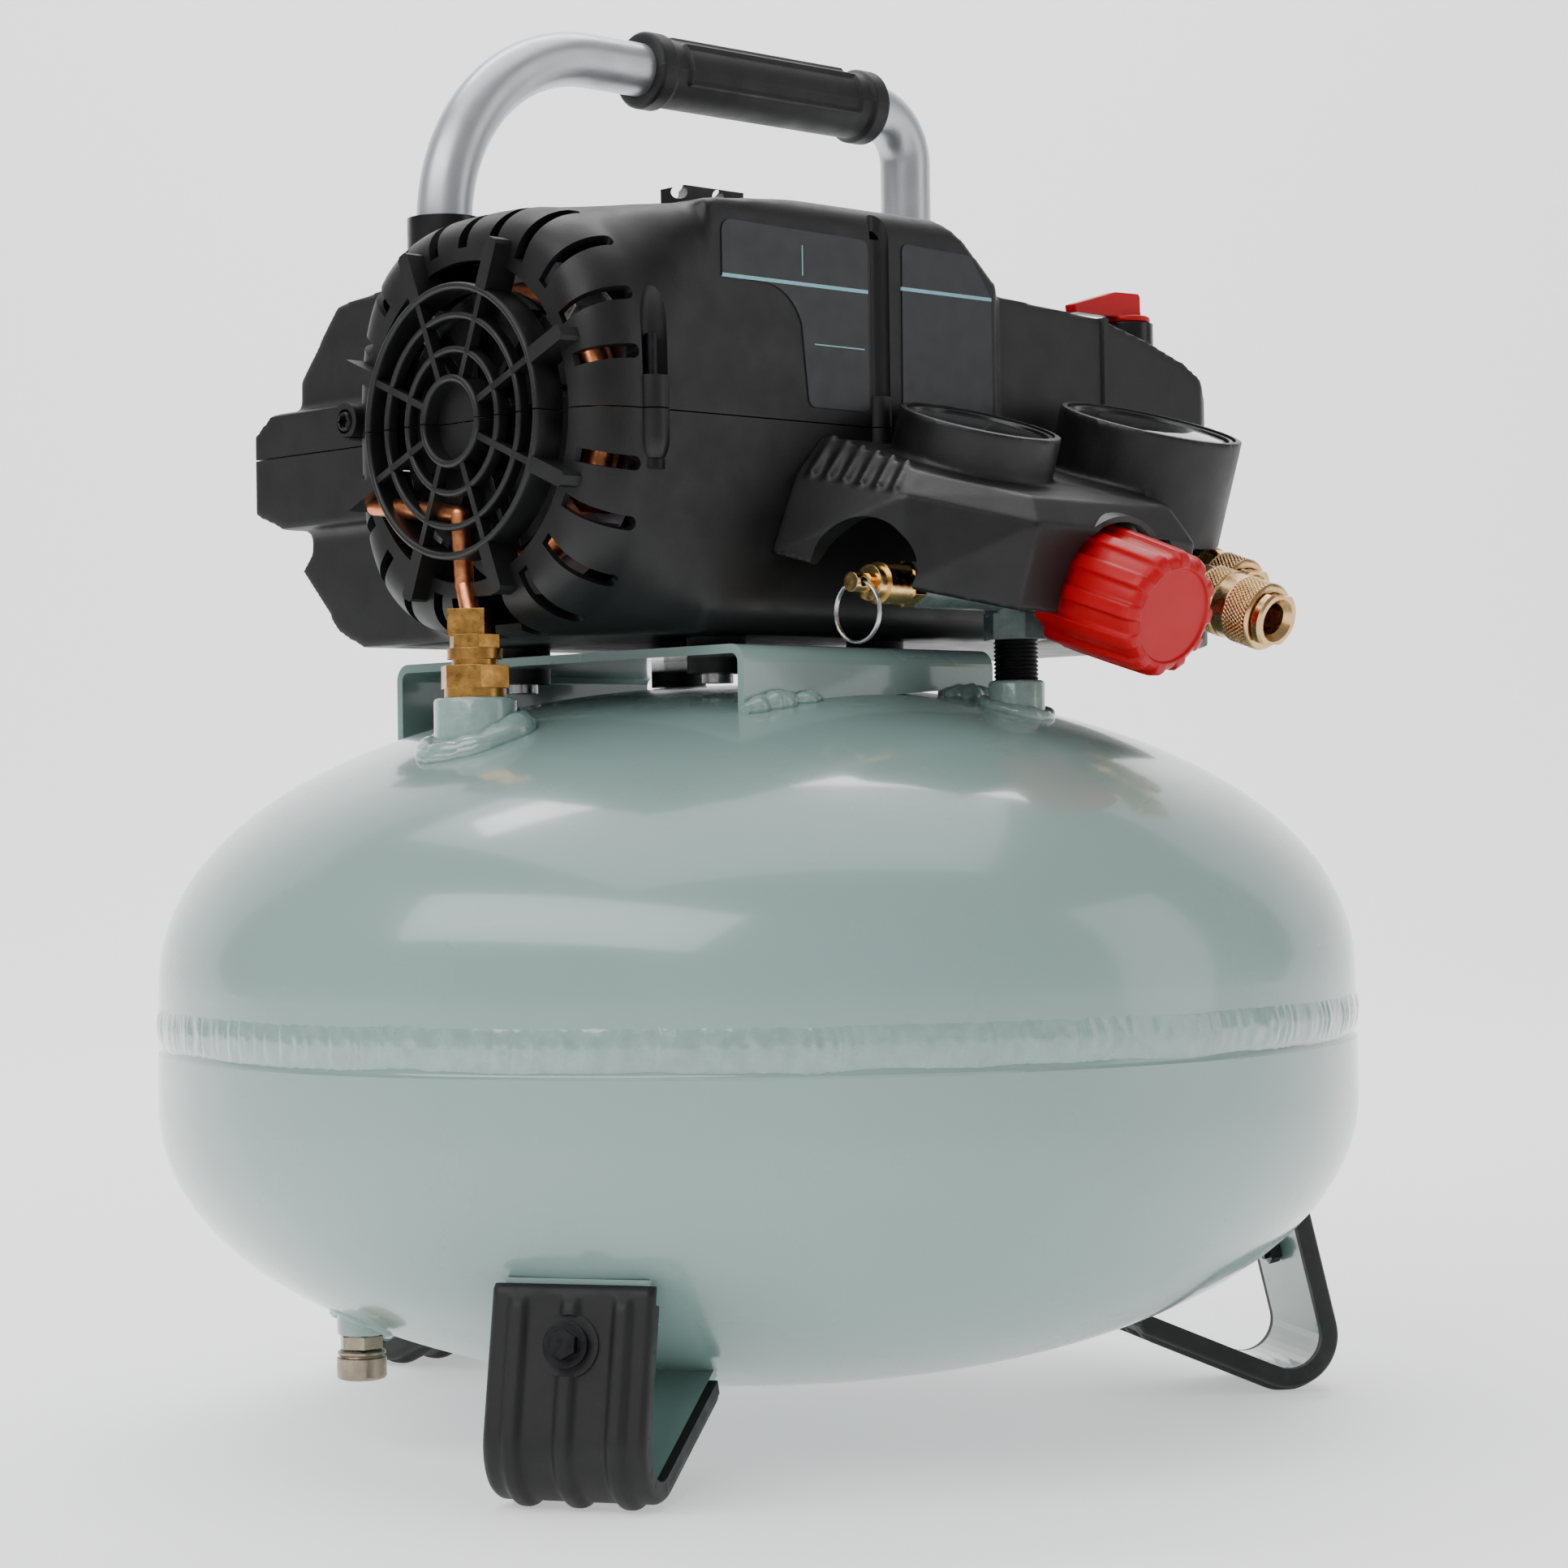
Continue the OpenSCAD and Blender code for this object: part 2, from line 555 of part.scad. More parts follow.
// ---- Drain valve ----
module drain_valve_body() color(brass) translate([drain_x, drain_y, 0]) difference() {
    union() {
        translate([0, 0, 37.5]) cylinder(r = 5, h = 12);
        translate([0, 0, 33.4]) hex(13, 4.2);
    }
    translate([0, 0, 32]) cylinder(r = 2.05, h = 10);
}
module drain_knob() color(brass) translate([drain_x, drain_y, 0]) {
    translate([0, 0, 23.2]) cylinder(r = 8.2, h = 9.8);
    translate([0, 0, 32.9]) cylinder(r = 2, h = 8);
}

// ---- Shroud ----
module tall_profile(i) polygon([[-116 + i, 266 + i], [shroud_end - i, 266 + i], [shroud_end - i, 350],
    [170 - i, 364 - i], [159 - i, 370 - i], [114, 383 - i], [60 - i * 0.5, 387 - i], [30 - i * 0.5, 411 - i],
    [-27, 411 - i], [-78, 406 - i], [-116 + i, 402 - i]]);
module bulge_profile(i) polygon([[20, 396 - i], [104 - i * 0.6, 388 - i], [128 - i, 364],
    [143 - i, 346 - i * 0.5], [143 - i, 314 + i * 0.5], [127 - i, 300], [104 - i * 0.6, 274 + i],
    [92 - i * 0.3, 266 + i], [20, 266 + i]]);
module shroud_solid(i) union() {
    intersection() {
        translate([-120, 0, 0]) rotate([90, 0, 90]) linear_extrude(300)
            polygon(round_box(shroud_front + i, 66 - i, 266 + i, 411 - i, side_round - i));
        rotate([90, 0, 0]) translate([0, 0, -100]) linear_extrude(200) tall_profile(i);
        translate([-i, i, 250]) linear_extrude(200) polygon(shroud_plan);
    }
    at_shaft() rod_x(70 - i, -118, -60);
    at_shaft() along_x(fan_face_x + i) cylinder(r1 = 65 - i, r2 = 70 - i, h = 16 - i + e);
    translate([-103 + i, 0, 0]) rotate([90, 0, 90]) linear_extrude(163 - 2 * i) bulge_profile(i);
    block([130 + i, shroud_end - i], [20, 86 - i], [266 + i, 366 - i]);
}
module screw_towers() {
    for (s = screw_spots) translate([s[0], s[1], 316]) cylinder(r = 6, h = 56);
    translate([-2, -65, 341]) cylinder(r = 6, h = 57);
}
module shroud_halves() difference() {
    union() {
        difference() {
            union() {
                shroud_solid(0);
                screw_towers();
            }
            shroud_solid(shroud_t);
            at_shaft() rod_x(opening_r, fan_face_x - 1, fan_face_x + 6);
            at_shaft() for (a = [0:15:345]) if (a != 90 && a != 270) rotate([a, 0, 0])
                block([fan_face_x - 1, -108], [-2.2, 2.2], [opening_r + 4.5, 80]);
        }
        intersection() {
            screw_towers();
            shroud_solid(0);
        }
        at_shaft() {
            for (r = ring_radii) difference() {
                rod_x(r, fan_face_x, fan_face_x + 3);
                rod_x(r - 1.8, fan_face_x - 1, fan_face_x + 4);
            }
            for (a = [22.5:45:337.5]) rotate([a, 0, 0])
                block([fan_face_x, fan_face_x + 3], [-1.8, 1.8], [14, 60]);
            rod_x(14, fan_face_x + 2, fan_face_x + 3);
        }
    }
    for (s = screw_spots) translate([s[0], s[1], 0]) {
        translate([0, 0, 320]) cylinder(r = 2.1, h = 44);
        translate([0, 0, 300]) cylinder(r = 4.2, h = 20);
    }
    for (m = mounts) translate([m[0], m[1], 260]) cylinder(r = 11, h = 9.5);
    for (x = posts) translate([x, post_y, 350]) cylinder(r = 13.2, h = 80);
    translate([lever_x, lever_y, 350]) cylinder(r = 10.5, h = 50);
    block([-140, -116.5], [-18, 8], [255, 279]);
    translate([0, 20, 290]) rod_x(8, shroud_end - 7, shroud_end + 8);
}
module shroud_upper() color(black) intersection() {
    shroud_halves();
    block([-200, 200], [-200, 200], [shaft_z, 500]);
}
module shroud_lower() color(black) intersection() {
    shroud_halves();
    block([-200, 200], [-200, 200], [200, shaft_z]);
}
module shroud_screws() color([0.15, 0.15, 0.16]) for (s = screw_spots) translate([s[0], s[1], 0]) {
    translate([0, 0, 320 - e]) cylinder(r = 2, h = 40);
    translate([0, 0, 317]) cylinder(r = 4, h = 3);
}

// ---- Handle ----
module handle_section() difference() {
    circle(r = handle_r);
    circle(r = handle_r - 1.5);
}
module handle_bend(r) rotate_extrude(angle = 90) translate([r, 0]) handle_section();
module handle_tube() color(silver) translate([0, post_y, 0]) {
    translate([posts[0], 0, 290]) linear_extrude(handle_z - left_bend - 290) handle_section();
    translate([posts[0] + left_bend, 0, handle_z - left_bend]) rotate([90, 0, 0]) rotate(90)
        handle_bend(left_bend);
    along_x(posts[0] + left_bend) translate([-handle_z, 0, 0])
        linear_extrude(posts[1] - right_bend - posts[0] - left_bend) handle_section();
    translate([posts[1] - right_bend, 0, handle_z - right_bend]) rotate([90, 0, 0]) handle_bend(right_bend);
    translate([posts[1], 0, 290]) linear_extrude(handle_z - right_bend - 290) handle_section();
}
module handle_sockets() color(black) for (x = posts) translate([x, post_y, 0]) difference() {
    translate([0, 0, base_z + base_t]) cylinder(r = 13, h = (x < 0 ? 416 : 376) - base_z - base_t);
    translate([0, 0, 290]) cylinder(r = handle_r, h = 140);
}
module handle_grip() color(black) translate([0, post_y, handle_z]) difference() {
    rod_x(grip_r, 12, 129);
    rod_x(handle_r, 11, 130);
}

// ---- Electrical parts ----
module pressure_switch() color(black) difference() {
    union() {
        block([122, 156], [-46, -24], [300, 362]);
        block([134, 148], [-50, -34], [base_z + base_t, 301]);
        translate([lever_x, lever_y, 361]) cylinder(r = 9.5, h = 25);
    }
    translate([lever_x, lever_y, 378]) cylinder(r = 3.05, h = 20);
}
module switch_lever() color(red) translate([lever_x, lever_y, 0]) {
    translate([0, 0, 380]) cylinder(r = 3, h = 8);
    translate([0, 0, 386.3]) cylinder(r = 8.5, h = 2.4);
    rotate([90, 0, 0]) translate([0, 0, -2.5]) linear_extrude(5)
        polygon([[-31, 388], [4, 388], [4.5, 397.5], [-7, 397.5], [-31, 391.5]]);
}
module run_capacitor() color(silver) translate([0, 20, base_z + base_t + 19]) rod_x(19, 60, 135);
module cord_gland() color(black) translate([0, 20, 290]) difference() {
    union() {
        rod_x(8, shroud_end - 9, shroud_end + 1);
        rod_x(11, shroud_end, shroud_end + 8);
    }
    rod_x(3.6, shroud_end - 3, shroud_end + 9);
}

tank_upper_shell();
tank_lower_shell();
girth_weld();
tank_bosses();
foot_straps();
foot_rubbers();
foot_bolts();
motor_bracket();
rubber_mounts();
mount_screws();
motor_base();
motor_stator();
stator_windings();
front_bracket();
motor_bearings();
tie_bolts();
crankcase();
crankcase_cover();
cylinder_sleeve();
valve_plate();
reed_valves();
cylinder_head();
head_bolts();
intake_filter();
discharge_tube();
check_valve();
outlet_nipple();
manifold();
regulator_bonnet();
gauge_cases();
gauge_dials();
gauge_lenses();
console_cover();
coupler_bodies();
relief_valve_body();
drain_valve_body();
shroud_upper();
shroud_lower();
shroud_screws();
handle_tube();
handle_sockets();
handle_grip();
pressure_switch();
run_capacitor();
cord_gland();
motor_shaft();
rotor_core();
cooling_fan();
crank_eccentric();
piston_rod();
piston_seal();
regulator_knob();
switch_lever();
coupler_sleeve_left();
coupler_sleeve_right();
gauge_needle_left();
gauge_needle_right();
relief_stem();
pull_ring();
drain_knob();
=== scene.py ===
"""Looks of a pancake air compressor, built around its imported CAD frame.

Shapes are modelled in millimetres in the CAD's own frame and scaled to metres when they are placed.
"""
import json
from math import cos, pi, radians, sin

import bmesh
import bpy
import numpy as np
from mathutils import Matrix, Vector, noise


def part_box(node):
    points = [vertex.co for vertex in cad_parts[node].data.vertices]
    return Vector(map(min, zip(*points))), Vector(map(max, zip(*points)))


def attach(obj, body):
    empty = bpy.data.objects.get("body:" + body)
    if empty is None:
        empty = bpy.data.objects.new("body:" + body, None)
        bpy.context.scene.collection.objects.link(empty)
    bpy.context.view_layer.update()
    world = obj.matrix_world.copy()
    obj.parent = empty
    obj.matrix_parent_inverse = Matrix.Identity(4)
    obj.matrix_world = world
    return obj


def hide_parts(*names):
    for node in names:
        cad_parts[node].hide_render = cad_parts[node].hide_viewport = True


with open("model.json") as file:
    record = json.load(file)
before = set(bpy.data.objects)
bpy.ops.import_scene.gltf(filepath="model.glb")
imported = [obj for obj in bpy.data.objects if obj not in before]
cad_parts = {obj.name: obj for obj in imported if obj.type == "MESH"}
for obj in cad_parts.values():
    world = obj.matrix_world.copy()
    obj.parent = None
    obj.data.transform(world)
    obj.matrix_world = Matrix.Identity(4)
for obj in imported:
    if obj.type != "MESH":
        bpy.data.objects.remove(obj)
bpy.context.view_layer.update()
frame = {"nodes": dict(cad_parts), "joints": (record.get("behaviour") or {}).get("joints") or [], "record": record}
MM = 0.001


def corners(node):
    """Lowest and highest corner of a CAD node, in millimetres."""
    low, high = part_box(node)
    return low / MM, high / MM


# ---------------------------------------------------------------- places taken from the frame
WELD_LOW, WELD_HIGH = corners("girth_weld")
UPPER_LOW, UPPER_HIGH = corners("tank_upper_shell")
LOWER_LOW, LOWER_HIGH = corners("tank_lower_shell")
BEAD_R = WELD_HIGH.x
TANK_R = UPPER_HIGH.x
LOW_R = LOWER_HIGH.x
SEAM_Z = UPPER_LOW.z
TANK_TOP = UPPER_HIGH.z
TANK_BOTTOM = LOWER_LOW.z
SHROUD_LOW = corners("shroud_lower")[0]
FACE_X = SHROUD_LOW.x
SPLIT_Z = corners("shroud_upper")[0].z
STEM_LOW, STEM_HIGH = corners("relief_stem")
MANIFOLD_Y = (STEM_LOW.y + STEM_HIGH.y) / 2
MANIFOLD_Z = (STEM_LOW.z + STEM_HIGH.z) / 2
CHECK_X, CHECK_Y = -128, -5
JOINTS = {j["name"]: j for j in frame["joints"]}
KNOB_AXIS = Vector(JOINTS["regulator_turn"]["axis"])
TILT = np.arctan2(-KNOB_AXIS.z, -KNOB_AXIS.y)
CONSOLE = Matrix.Translation((0, MANIFOLD_Y, MANIFOLD_Z)) @ Matrix.Rotation(TILT, 4, "X")


# ---------------------------------------------------------------- mesh helpers, in millimetres
def solid(name, verts, faces):
    mesh = bpy.data.meshes.new(name)
    mesh.from_pydata([tuple(map(float, v)) for v in verts], [], faces)
    form = bmesh.new()
    form.from_mesh(mesh)
    bmesh.ops.recalc_face_normals(form, faces=form.faces)
    form.to_mesh(mesh)
    form.free()
    piece = bpy.data.objects.new(name, mesh)
    bpy.context.scene.collection.objects.link(piece)
    return piece


def skin(name, rings, loop=False):
    """A closed surface through rings of points; loop joins the last ring to the first."""
    count, size = len(rings), len(rings[0])
    faces = []
    for i in range(count if loop else count - 1):
        a, b = i * size, (i + 1) % count * size
        faces += [(a + j, a + (j + 1) % size, b + (j + 1) % size, b + j) for j in range(size)]
    if not loop:
        faces += [tuple(range(size)), tuple(range((count - 1) * size, count * size))]
    return solid(name, np.concatenate(rings), faces)


TURNED = {"x": [2, 0, 1], "y": [1, 2, 0], "z": [0, 1, 2]}


def lathe(name, profile, axis="z", centre=(0, 0, 0), steps=96, loop=False, shape=None):
    """Turns (radius, height) points about an axis; shape(r, h, angles) may change each ring's radius."""
    angles = np.linspace(0, 2 * pi, steps, endpoint=False)
    rings = []
    for r, h in profile:
        radius = np.full(steps, float(r)) if shape is None else shape(r, h, angles)
        ring = np.stack([radius * np.cos(angles), radius * np.sin(angles), np.full(steps, float(h))])
        rings.append(ring[TURNED[axis]].T + np.array(centre, float))
    return skin(name, rings, loop)


def prism(outline, axis, low, high, name="prism"):
    """An outline in the plane across an axis, drawn out along that axis."""
    points = np.array(outline, float)
    place = {"x": [2, 0, 1], "y": [0, 2, 1], "z": [0, 1, 2]}[axis]
    rings = [np.column_stack([points, np.full(len(points), level)])[:, place] for level in (low, high)]
    return skin(name, rings)


def block(x, y, z):
    return prism([(x[0], y[0]), (x[1], y[0]), (x[1], y[1]), (x[0], y[1])], "z", *z)


def rod(axis, centre, radius, low, high, steps=64):
    """A round bar about a centre given across its axis."""
    spot = {"x": (0, *centre), "y": (centre[0], 0, centre[1]), "z": (*centre, 0)}[axis]
    return lathe("rod", [(radius, low), (radius, high)], axis, spot, steps)


def ball_rod(start, end, radius, steps=20):
    """A bar with round ends between two points."""
    start, end = Vector(start), Vector(end)
    length = (end - start).length
    dome = [(radius * sin(t), -radius * cos(t)) for t in np.linspace(0.05, pi / 2, 6)]
    profile = dome + [(r, length - h) for r, h in reversed(dome)]
    piece = lathe("ball_rod", profile, "z", steps=steps)
    turn = (end - start).to_track_quat("Z", "Y").to_matrix().to_4x4()
    piece.data.transform(Matrix.Translation(start) @ turn)
    return piece


def joined(name, parts):
    form = bmesh.new()
    for part in parts:
        form.from_mesh(part.data)
        bpy.data.objects.remove(part)
    mesh = bpy.data.meshes.new(name)
    form.to_mesh(mesh)
    form.free()
    piece = bpy.data.objects.new(name, mesh)
    bpy.context.scene.collection.objects.link(piece)
    return piece


def applied(piece):
    mesh = bpy.data.meshes.new_from_object(piece.evaluated_get(bpy.context.evaluated_depsgraph_get()))
    piece.modifiers.clear()
    piece.data = mesh
    return piece


def carve(piece, operation, *others):
    """Joins, cuts or intersects a piece with others, which are used up."""
    for other in others:
        step = piece.modifiers.new("carve", "BOOLEAN")
        step.operation = operation
        step.solver = "MANIFOLD"
        step.object = other
    applied(piece)
    for other in others:
        bpy.data.objects.remove(other)
    return piece


def fuse(name, parts, voxel, softening):
    """Melts overlapping solids into one moulded form with soft edges."""
    piece = joined(name, parts)
    step = piece.modifiers.new("voxels", "REMESH")
    step.mode = "VOXEL"
    step.voxel_size = voxel
    step = piece.modifiers.new("soften", "SMOOTH")
    step.factor = 0.5
    step.iterations = softening
    return applied(piece)


def arc(x, y, r, start, end, count=8):
    return [(x + r * cos(radians(t)), y + r * sin(radians(t))) for t in np.linspace(start, end, count + 1)]


def round_box(x0, x1, y0, y1, r):
    return (arc(x1 - r, y0 + r, r, -90, 0) + arc(x1 - r, y1 - r, r, 0, 90)
            + arc(x0 + r, y1 - r, r, 90, 180) + arc(x0 + r, y0 + r, r, 180, 270))


def tube(name, points, radius, steps=48, ends=True):
    """A round tube swept along points; radius is a number or one for each point."""
    points = [Vector(p) for p in points]
    radii = radius if hasattr(radius, "__len__") else [radius] * len(points)
    side = None
    rings = []
    for i, point in enumerate(points):
        ahead = (points[min(i + 1, len(points) - 1)] - points[max(i - 1, 0)]).normalized()
        side = ahead.orthogonal() if side is None else side - ahead * side.dot(ahead)
        side.normalize()
        up = ahead.cross(side)
        rings.append(np.array([point + radii[i] * (cos(t) * side + sin(t) * up)
                               for t in np.linspace(0, 2 * pi, steps, endpoint=False)]))
    return skin(name, rings, not ends)


def place(piece, name, material, slot, body="chassis", stands_for=(), sharp=38, move=None):
    """Scales a finished piece to metres and hangs it on its CAD body."""
    piece.name = name
    mesh = piece.data
    mesh.name = name
    if move is not None:
        mesh.transform(move)
    mesh.transform(Matrix.Scale(MM, 4))
    mesh.materials.clear()
    mesh.materials.append(material)
    mesh.shade_smooth()
    mesh.set_sharp_from_angle(angle=radians(sharp))
    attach(piece, body)
    if stands_for:
        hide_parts(*stands_for)
    return piece


# ---------------------------------------------------------------- materials
class Shade:
    """A Principled material, with short calls that add nodes to it. Lengths are in millimetres."""

    def __init__(self, name, colour, roughness, **sockets):
        self.material = bpy.data.materials.new(name)
        self.material.use_nodes = True
        self.tree = self.material.node_tree
        self.shader = self.tree.nodes["Principled BSDF"]
        self.place = self.add("ShaderNodeTexCoord").outputs["Object"]
        self.set("Base Color", (*colour, 1))
        self.set("Roughness", roughness)
        for socket, value in sockets.items():
            self.set(socket.replace("_", " "), value)

    def set(self, socket, value):
        self.shader.inputs[socket].default_value = value

    def add(self, kind, **values):
        node = self.tree.nodes.new(kind)
        for key, value in values.items():
            if key in node.inputs:
                node.inputs[key].default_value = value
            else:
                setattr(node, key, value)
        return node

    def link(self, output, target):
        self.tree.links.new(output, target)

    def noise(self, size, detail=3.0, stretch=(1, 1, 1)):
        """Noise whose features are about size millimetres wide."""
        spread = self.add("ShaderNodeMapping")
        spread.inputs["Scale"].default_value = [1 / (size * MM * s) for s in stretch]
        self.link(self.place, spread.inputs["Vector"])
        grain = self.add("ShaderNodeTexNoise", Scale=1.0, Detail=detail)
        self.link(spread.outputs["Vector"], grain.inputs["Vector"])
        return grain.outputs["Fac"]

    def cells(self, size):
        spread = self.add("ShaderNodeMapping")
        spread.inputs["Scale"].default_value = [1 / (size * MM)] * 3
        self.link(self.place, spread.inputs["Vector"])
        grain = self.add("ShaderNodeTexVoronoi", Scale=1.0)
        self.link(spread.outputs["Vector"], grain.inputs["Vector"])
        return grain.outputs["Distance"]

    def spread(self, value, low, high, start=0.3, end=0.7):
        change = self.add("ShaderNodeMapRange")
        for socket, number in zip(("From Min", "From Max", "To Min", "To Max"), (start, end, low, high)):
            change.inputs[socket].default_value = number
        self.link(value, change.inputs["Value"])
        return change.outputs["Result"]

    def colour(self, value, dark, light, start=0.3, end=0.7):
        ramp = self.add("ShaderNodeValToRGB")
        for stop, place, tone in zip(ramp.color_ramp.elements, (start, end), (dark, light)):
            stop.position = place
            stop.color = (*tone, 1)
        self.link(value, ramp.inputs["Fac"])
        self.link(ramp.outputs["Color"], self.shader.inputs["Base Color"])

    def rough(self, value, low, high):
        self.link(self.spread(value, low, high), self.shader.inputs["Roughness"])

    def relief(self, *layers, edge=0):
        """Bump layers as (height, depth in millimetres), over edges rounded by an edge radius."""
        normal = None
        if edge:
            soft = self.add("ShaderNodeBevel", samples=4)
            soft.inputs["Radius"].default_value = edge * MM
            normal = soft.outputs["Normal"]
        for height, depth in layers:
            bump = self.add("ShaderNodeBump", Strength=1.0, Distance=depth * MM)
            self.link(height, bump.inputs["Height"])
            if normal:
                self.link(normal, bump.inputs["Normal"])
            normal = bump.outputs["Normal"]
        self.link(normal, self.shader.inputs["Normal"])
        return self.material


def tones(colour, amount):
    return [c * (1 - amount) for c in colour], [min(1, c * (1 + amount)) for c in colour]


def gloss_paint():
    tone = (0.235, 0.345, 0.322)
    paint = Shade("sage_paint", tone, 0.24, Coat_Weight=0.7, Coat_Roughness=0.09)
    paint.colour(paint.noise(90, 4), *tones(tone, 0.035))
    paint.rough(paint.noise(40, 3), 0.2, 0.3)
    return paint.relief((paint.noise(4.5, 1), 0.012), (paint.noise(14, 1), 0.03))


def weld_paint():
    tone = (0.24, 0.35, 0.327)
    paint = Shade("sage_weld_paint", tone, 0.2, Coat_Weight=0.8, Coat_Roughness=0.06)
    paint.colour(paint.noise(6, 4), *tones(tone, 0.1))
    paint.rough(paint.noise(3, 3), 0.16, 0.32)
    return paint.relief((paint.noise(2.4, 3), 0.16), (paint.noise(7, 2), 0.25))


def moulded(name, tone, roughness, grain, depth, edge=0.0, swing=0.16, sheen=0.4):
    plastic = Shade(name, tone, roughness, Specular_IOR_Level=sheen)
    plastic.colour(plastic.noise(28, 4), *tones(tone, swing))
    plastic.rough(plastic.noise(11, 5), roughness - 0.06, roughness + 0.08)
    return plastic.relief((plastic.cells(grain), depth), (plastic.noise(9, 2), 0.02), edge=edge)


def metal(name, tone, roughness, stretch=(1, 1, 1), grain=0.5, depth=0.012, edge=0.35, swing=0.12):
    alloy = Shade(name, tone, roughness, Metallic=1.0)
    alloy.colour(alloy.noise(7, 5), *tones(tone, swing))
    alloy.rough(alloy.noise(2.2, 4, stretch), roughness - 0.07, roughness + 0.1)
    return alloy.relief((alloy.noise(grain, 2, stretch), depth), edge=edge)


def cast(name, tone, roughness, metallic):
    rough = Shade(name, tone, roughness, Metallic=metallic)
    rough.colour(rough.noise(4, 5), *tones(tone, 0.22))
    rough.rough(rough.noise(3, 4), roughness - 0.08, roughness + 0.1)
    return rough.relief((rough.noise(1.1, 3), 0.05), (rough.noise(6, 2), 0.12), edge=0.8)


def silver_coat():
    tone = (0.50, 0.52, 0.55)
    coat = Shade("silver_coat", tone, 0.36, Metallic=0.75, Coat_Weight=0.35, Coat_Roughness=0.2)
    coat.colour(coat.noise(0.25, 2), *tones(tone, 0.10))
    coat.rough(coat.noise(9, 4), 0.32, 0.42)
    return coat.relief((coat.noise(0.3, 1), 0.006), (coat.noise(12, 2), 0.02))


def glass():
    lens = Shade("gauge_glass", (0.93, 0.96, 0.97), 0.03, Transmission_Weight=1.0, IOR=1.45)
    lens.rough(lens.noise(5, 3), 0.015, 0.05)
    return lens.relief((lens.noise(16, 1), 0.006))


def flat_ink(name, tone, roughness=0.4, swing=0.06):
    ink = Shade(name, tone, roughness)
    ink.colour(ink.noise(2.5, 3), *tones(tone, swing))
    ink.rough(ink.noise(6, 3), roughness - 0.05, roughness + 0.06)
    return ink.relief((ink.noise(0.8, 2), 0.006))


PAINT = gloss_paint()
WELD = weld_paint()
BLACK_PLASTIC = moulded("grained_black_plastic", (0.0042, 0.0042, 0.0044), 0.44, 0.55, 0.022)
BLACK_CAD_PLASTIC = moulded("moulded_black_parts", (0.005, 0.005, 0.0052), 0.42, 0.6, 0.02, edge=0.8)
SMOOTH_PLASTIC = moulded("smooth_black_plastic", (0.004, 0.004, 0.0042), 0.28, 0.9, 0.008, edge=0.5)
RUBBER = moulded("black_rubber", (0.007, 0.007, 0.0073), 0.55, 0.8, 0.03, swing=0.22)
RED = moulded("red_plastic", (0.44, 0.001, 0.006), 0.36, 0.8, 0.01, edge=0.4, swing=0.07, sheen=0.25)
BLACK_STEEL = metal("blackened_steel", (0.028, 0.028, 0.03), 0.4, edge=0.4)
STEEL = metal("zinc_steel", (0.45, 0.45, 0.46), 0.24)
LAMINATIONS = metal("stator_steel", (0.24, 0.24, 0.26), 0.45, (0.25, 4, 4), 1.2, 0.05)
COPPER = metal("bare_copper", (0.68, 0.25, 0.11), 0.33, swing=0.25)
CAST_ALU = cast("cast_aluminium", (0.52, 0.53, 0.54), 0.42, 0.9)
BRASS = metal("machined_brass", (0.76, 0.52, 0.22), 0.2, swing=0.16)
WARM_BRASS = metal("turned_brass", (0.66, 0.42, 0.20), 0.24, edge=0.2, swing=0.10)
AGED_BRASS = metal("aged_brass", (0.42, 0.22, 0.06), 0.3, swing=0.42)
NICKEL = metal("nickel_brass", (0.30, 0.25, 0.19), 0.3, swing=0.2)
MANIFOLD_PAINT = cast("cast_grey_green", (0.12, 0.16, 0.155), 0.34, 0.4)
SILVER = silver_coat()
DIAL = flat_ink("dial_white", (0.78, 0.78, 0.76), 0.45)
DIAL_INK = flat_ink("dial_black", (0.015, 0.015, 0.016), 0.45)
GLASS = glass()
SEAL = moulded("seal_ring", (0.55, 0.50, 0.42), 0.5, 0.7, 0.01)
LABEL = flat_ink("label_charcoal", (0.011, 0.0115, 0.015), 0.4)
LABEL_LINE = flat_ink("label_turquoise", (0.20, 0.44, 0.47), 0.36)

SLOT_MATERIALS = {
    "paint": PAINT, "rubber": RUBBER, "black_steel": BLACK_STEEL, "steel": STEEL,
    "laminations": LAMINATIONS, "copper": COPPER, "cast_alu": CAST_ALU, "brass": BRASS,
    "manifold_paint": MANIFOLD_PAINT, "black_plastic": BLACK_CAD_PLASTIC, "smooth_plastic": SMOOTH_PLASTIC,
    "red_plastic": RED, "silver_tube": SILVER, "dial": DIAL, "lens": GLASS, "seal": SEAL}
NODE_MATERIALS = {"check_valve": AGED_BRASS, "drain_valve_body": NICKEL, "relief_stem": BRASS,
                  "coupler_bodies": WARM_BRASS, "run_capacitor": SMOOTH_PLASTIC}
for part in frame["record"]["subparts"]:
    node = part["node"]
    mesh = frame["nodes"][node].data
    mesh.materials.clear()
    mesh.materials.append(NODE_MATERIALS.get(node, SLOT_MATERIALS[part["material_slot"]]))


# ---------------------------------------------------------------- tank
DOME_POWER = 2.13
UPPER_SPRING = 151.1
LOWER_SPRING = 111.6
SHEET = 2.4


def dome(radius, spring, rise, steps=56):
    """A superelliptic quarter outline from the springing to the pole."""
    turns = np.linspace(0, pi / 2, steps)
    return [(max(radius * max(cos(t), 0) ** (2 / DOME_POWER), 0.05),
             spring + rise * sin(t) ** (2 / DOME_POWER))
            for t in turns]


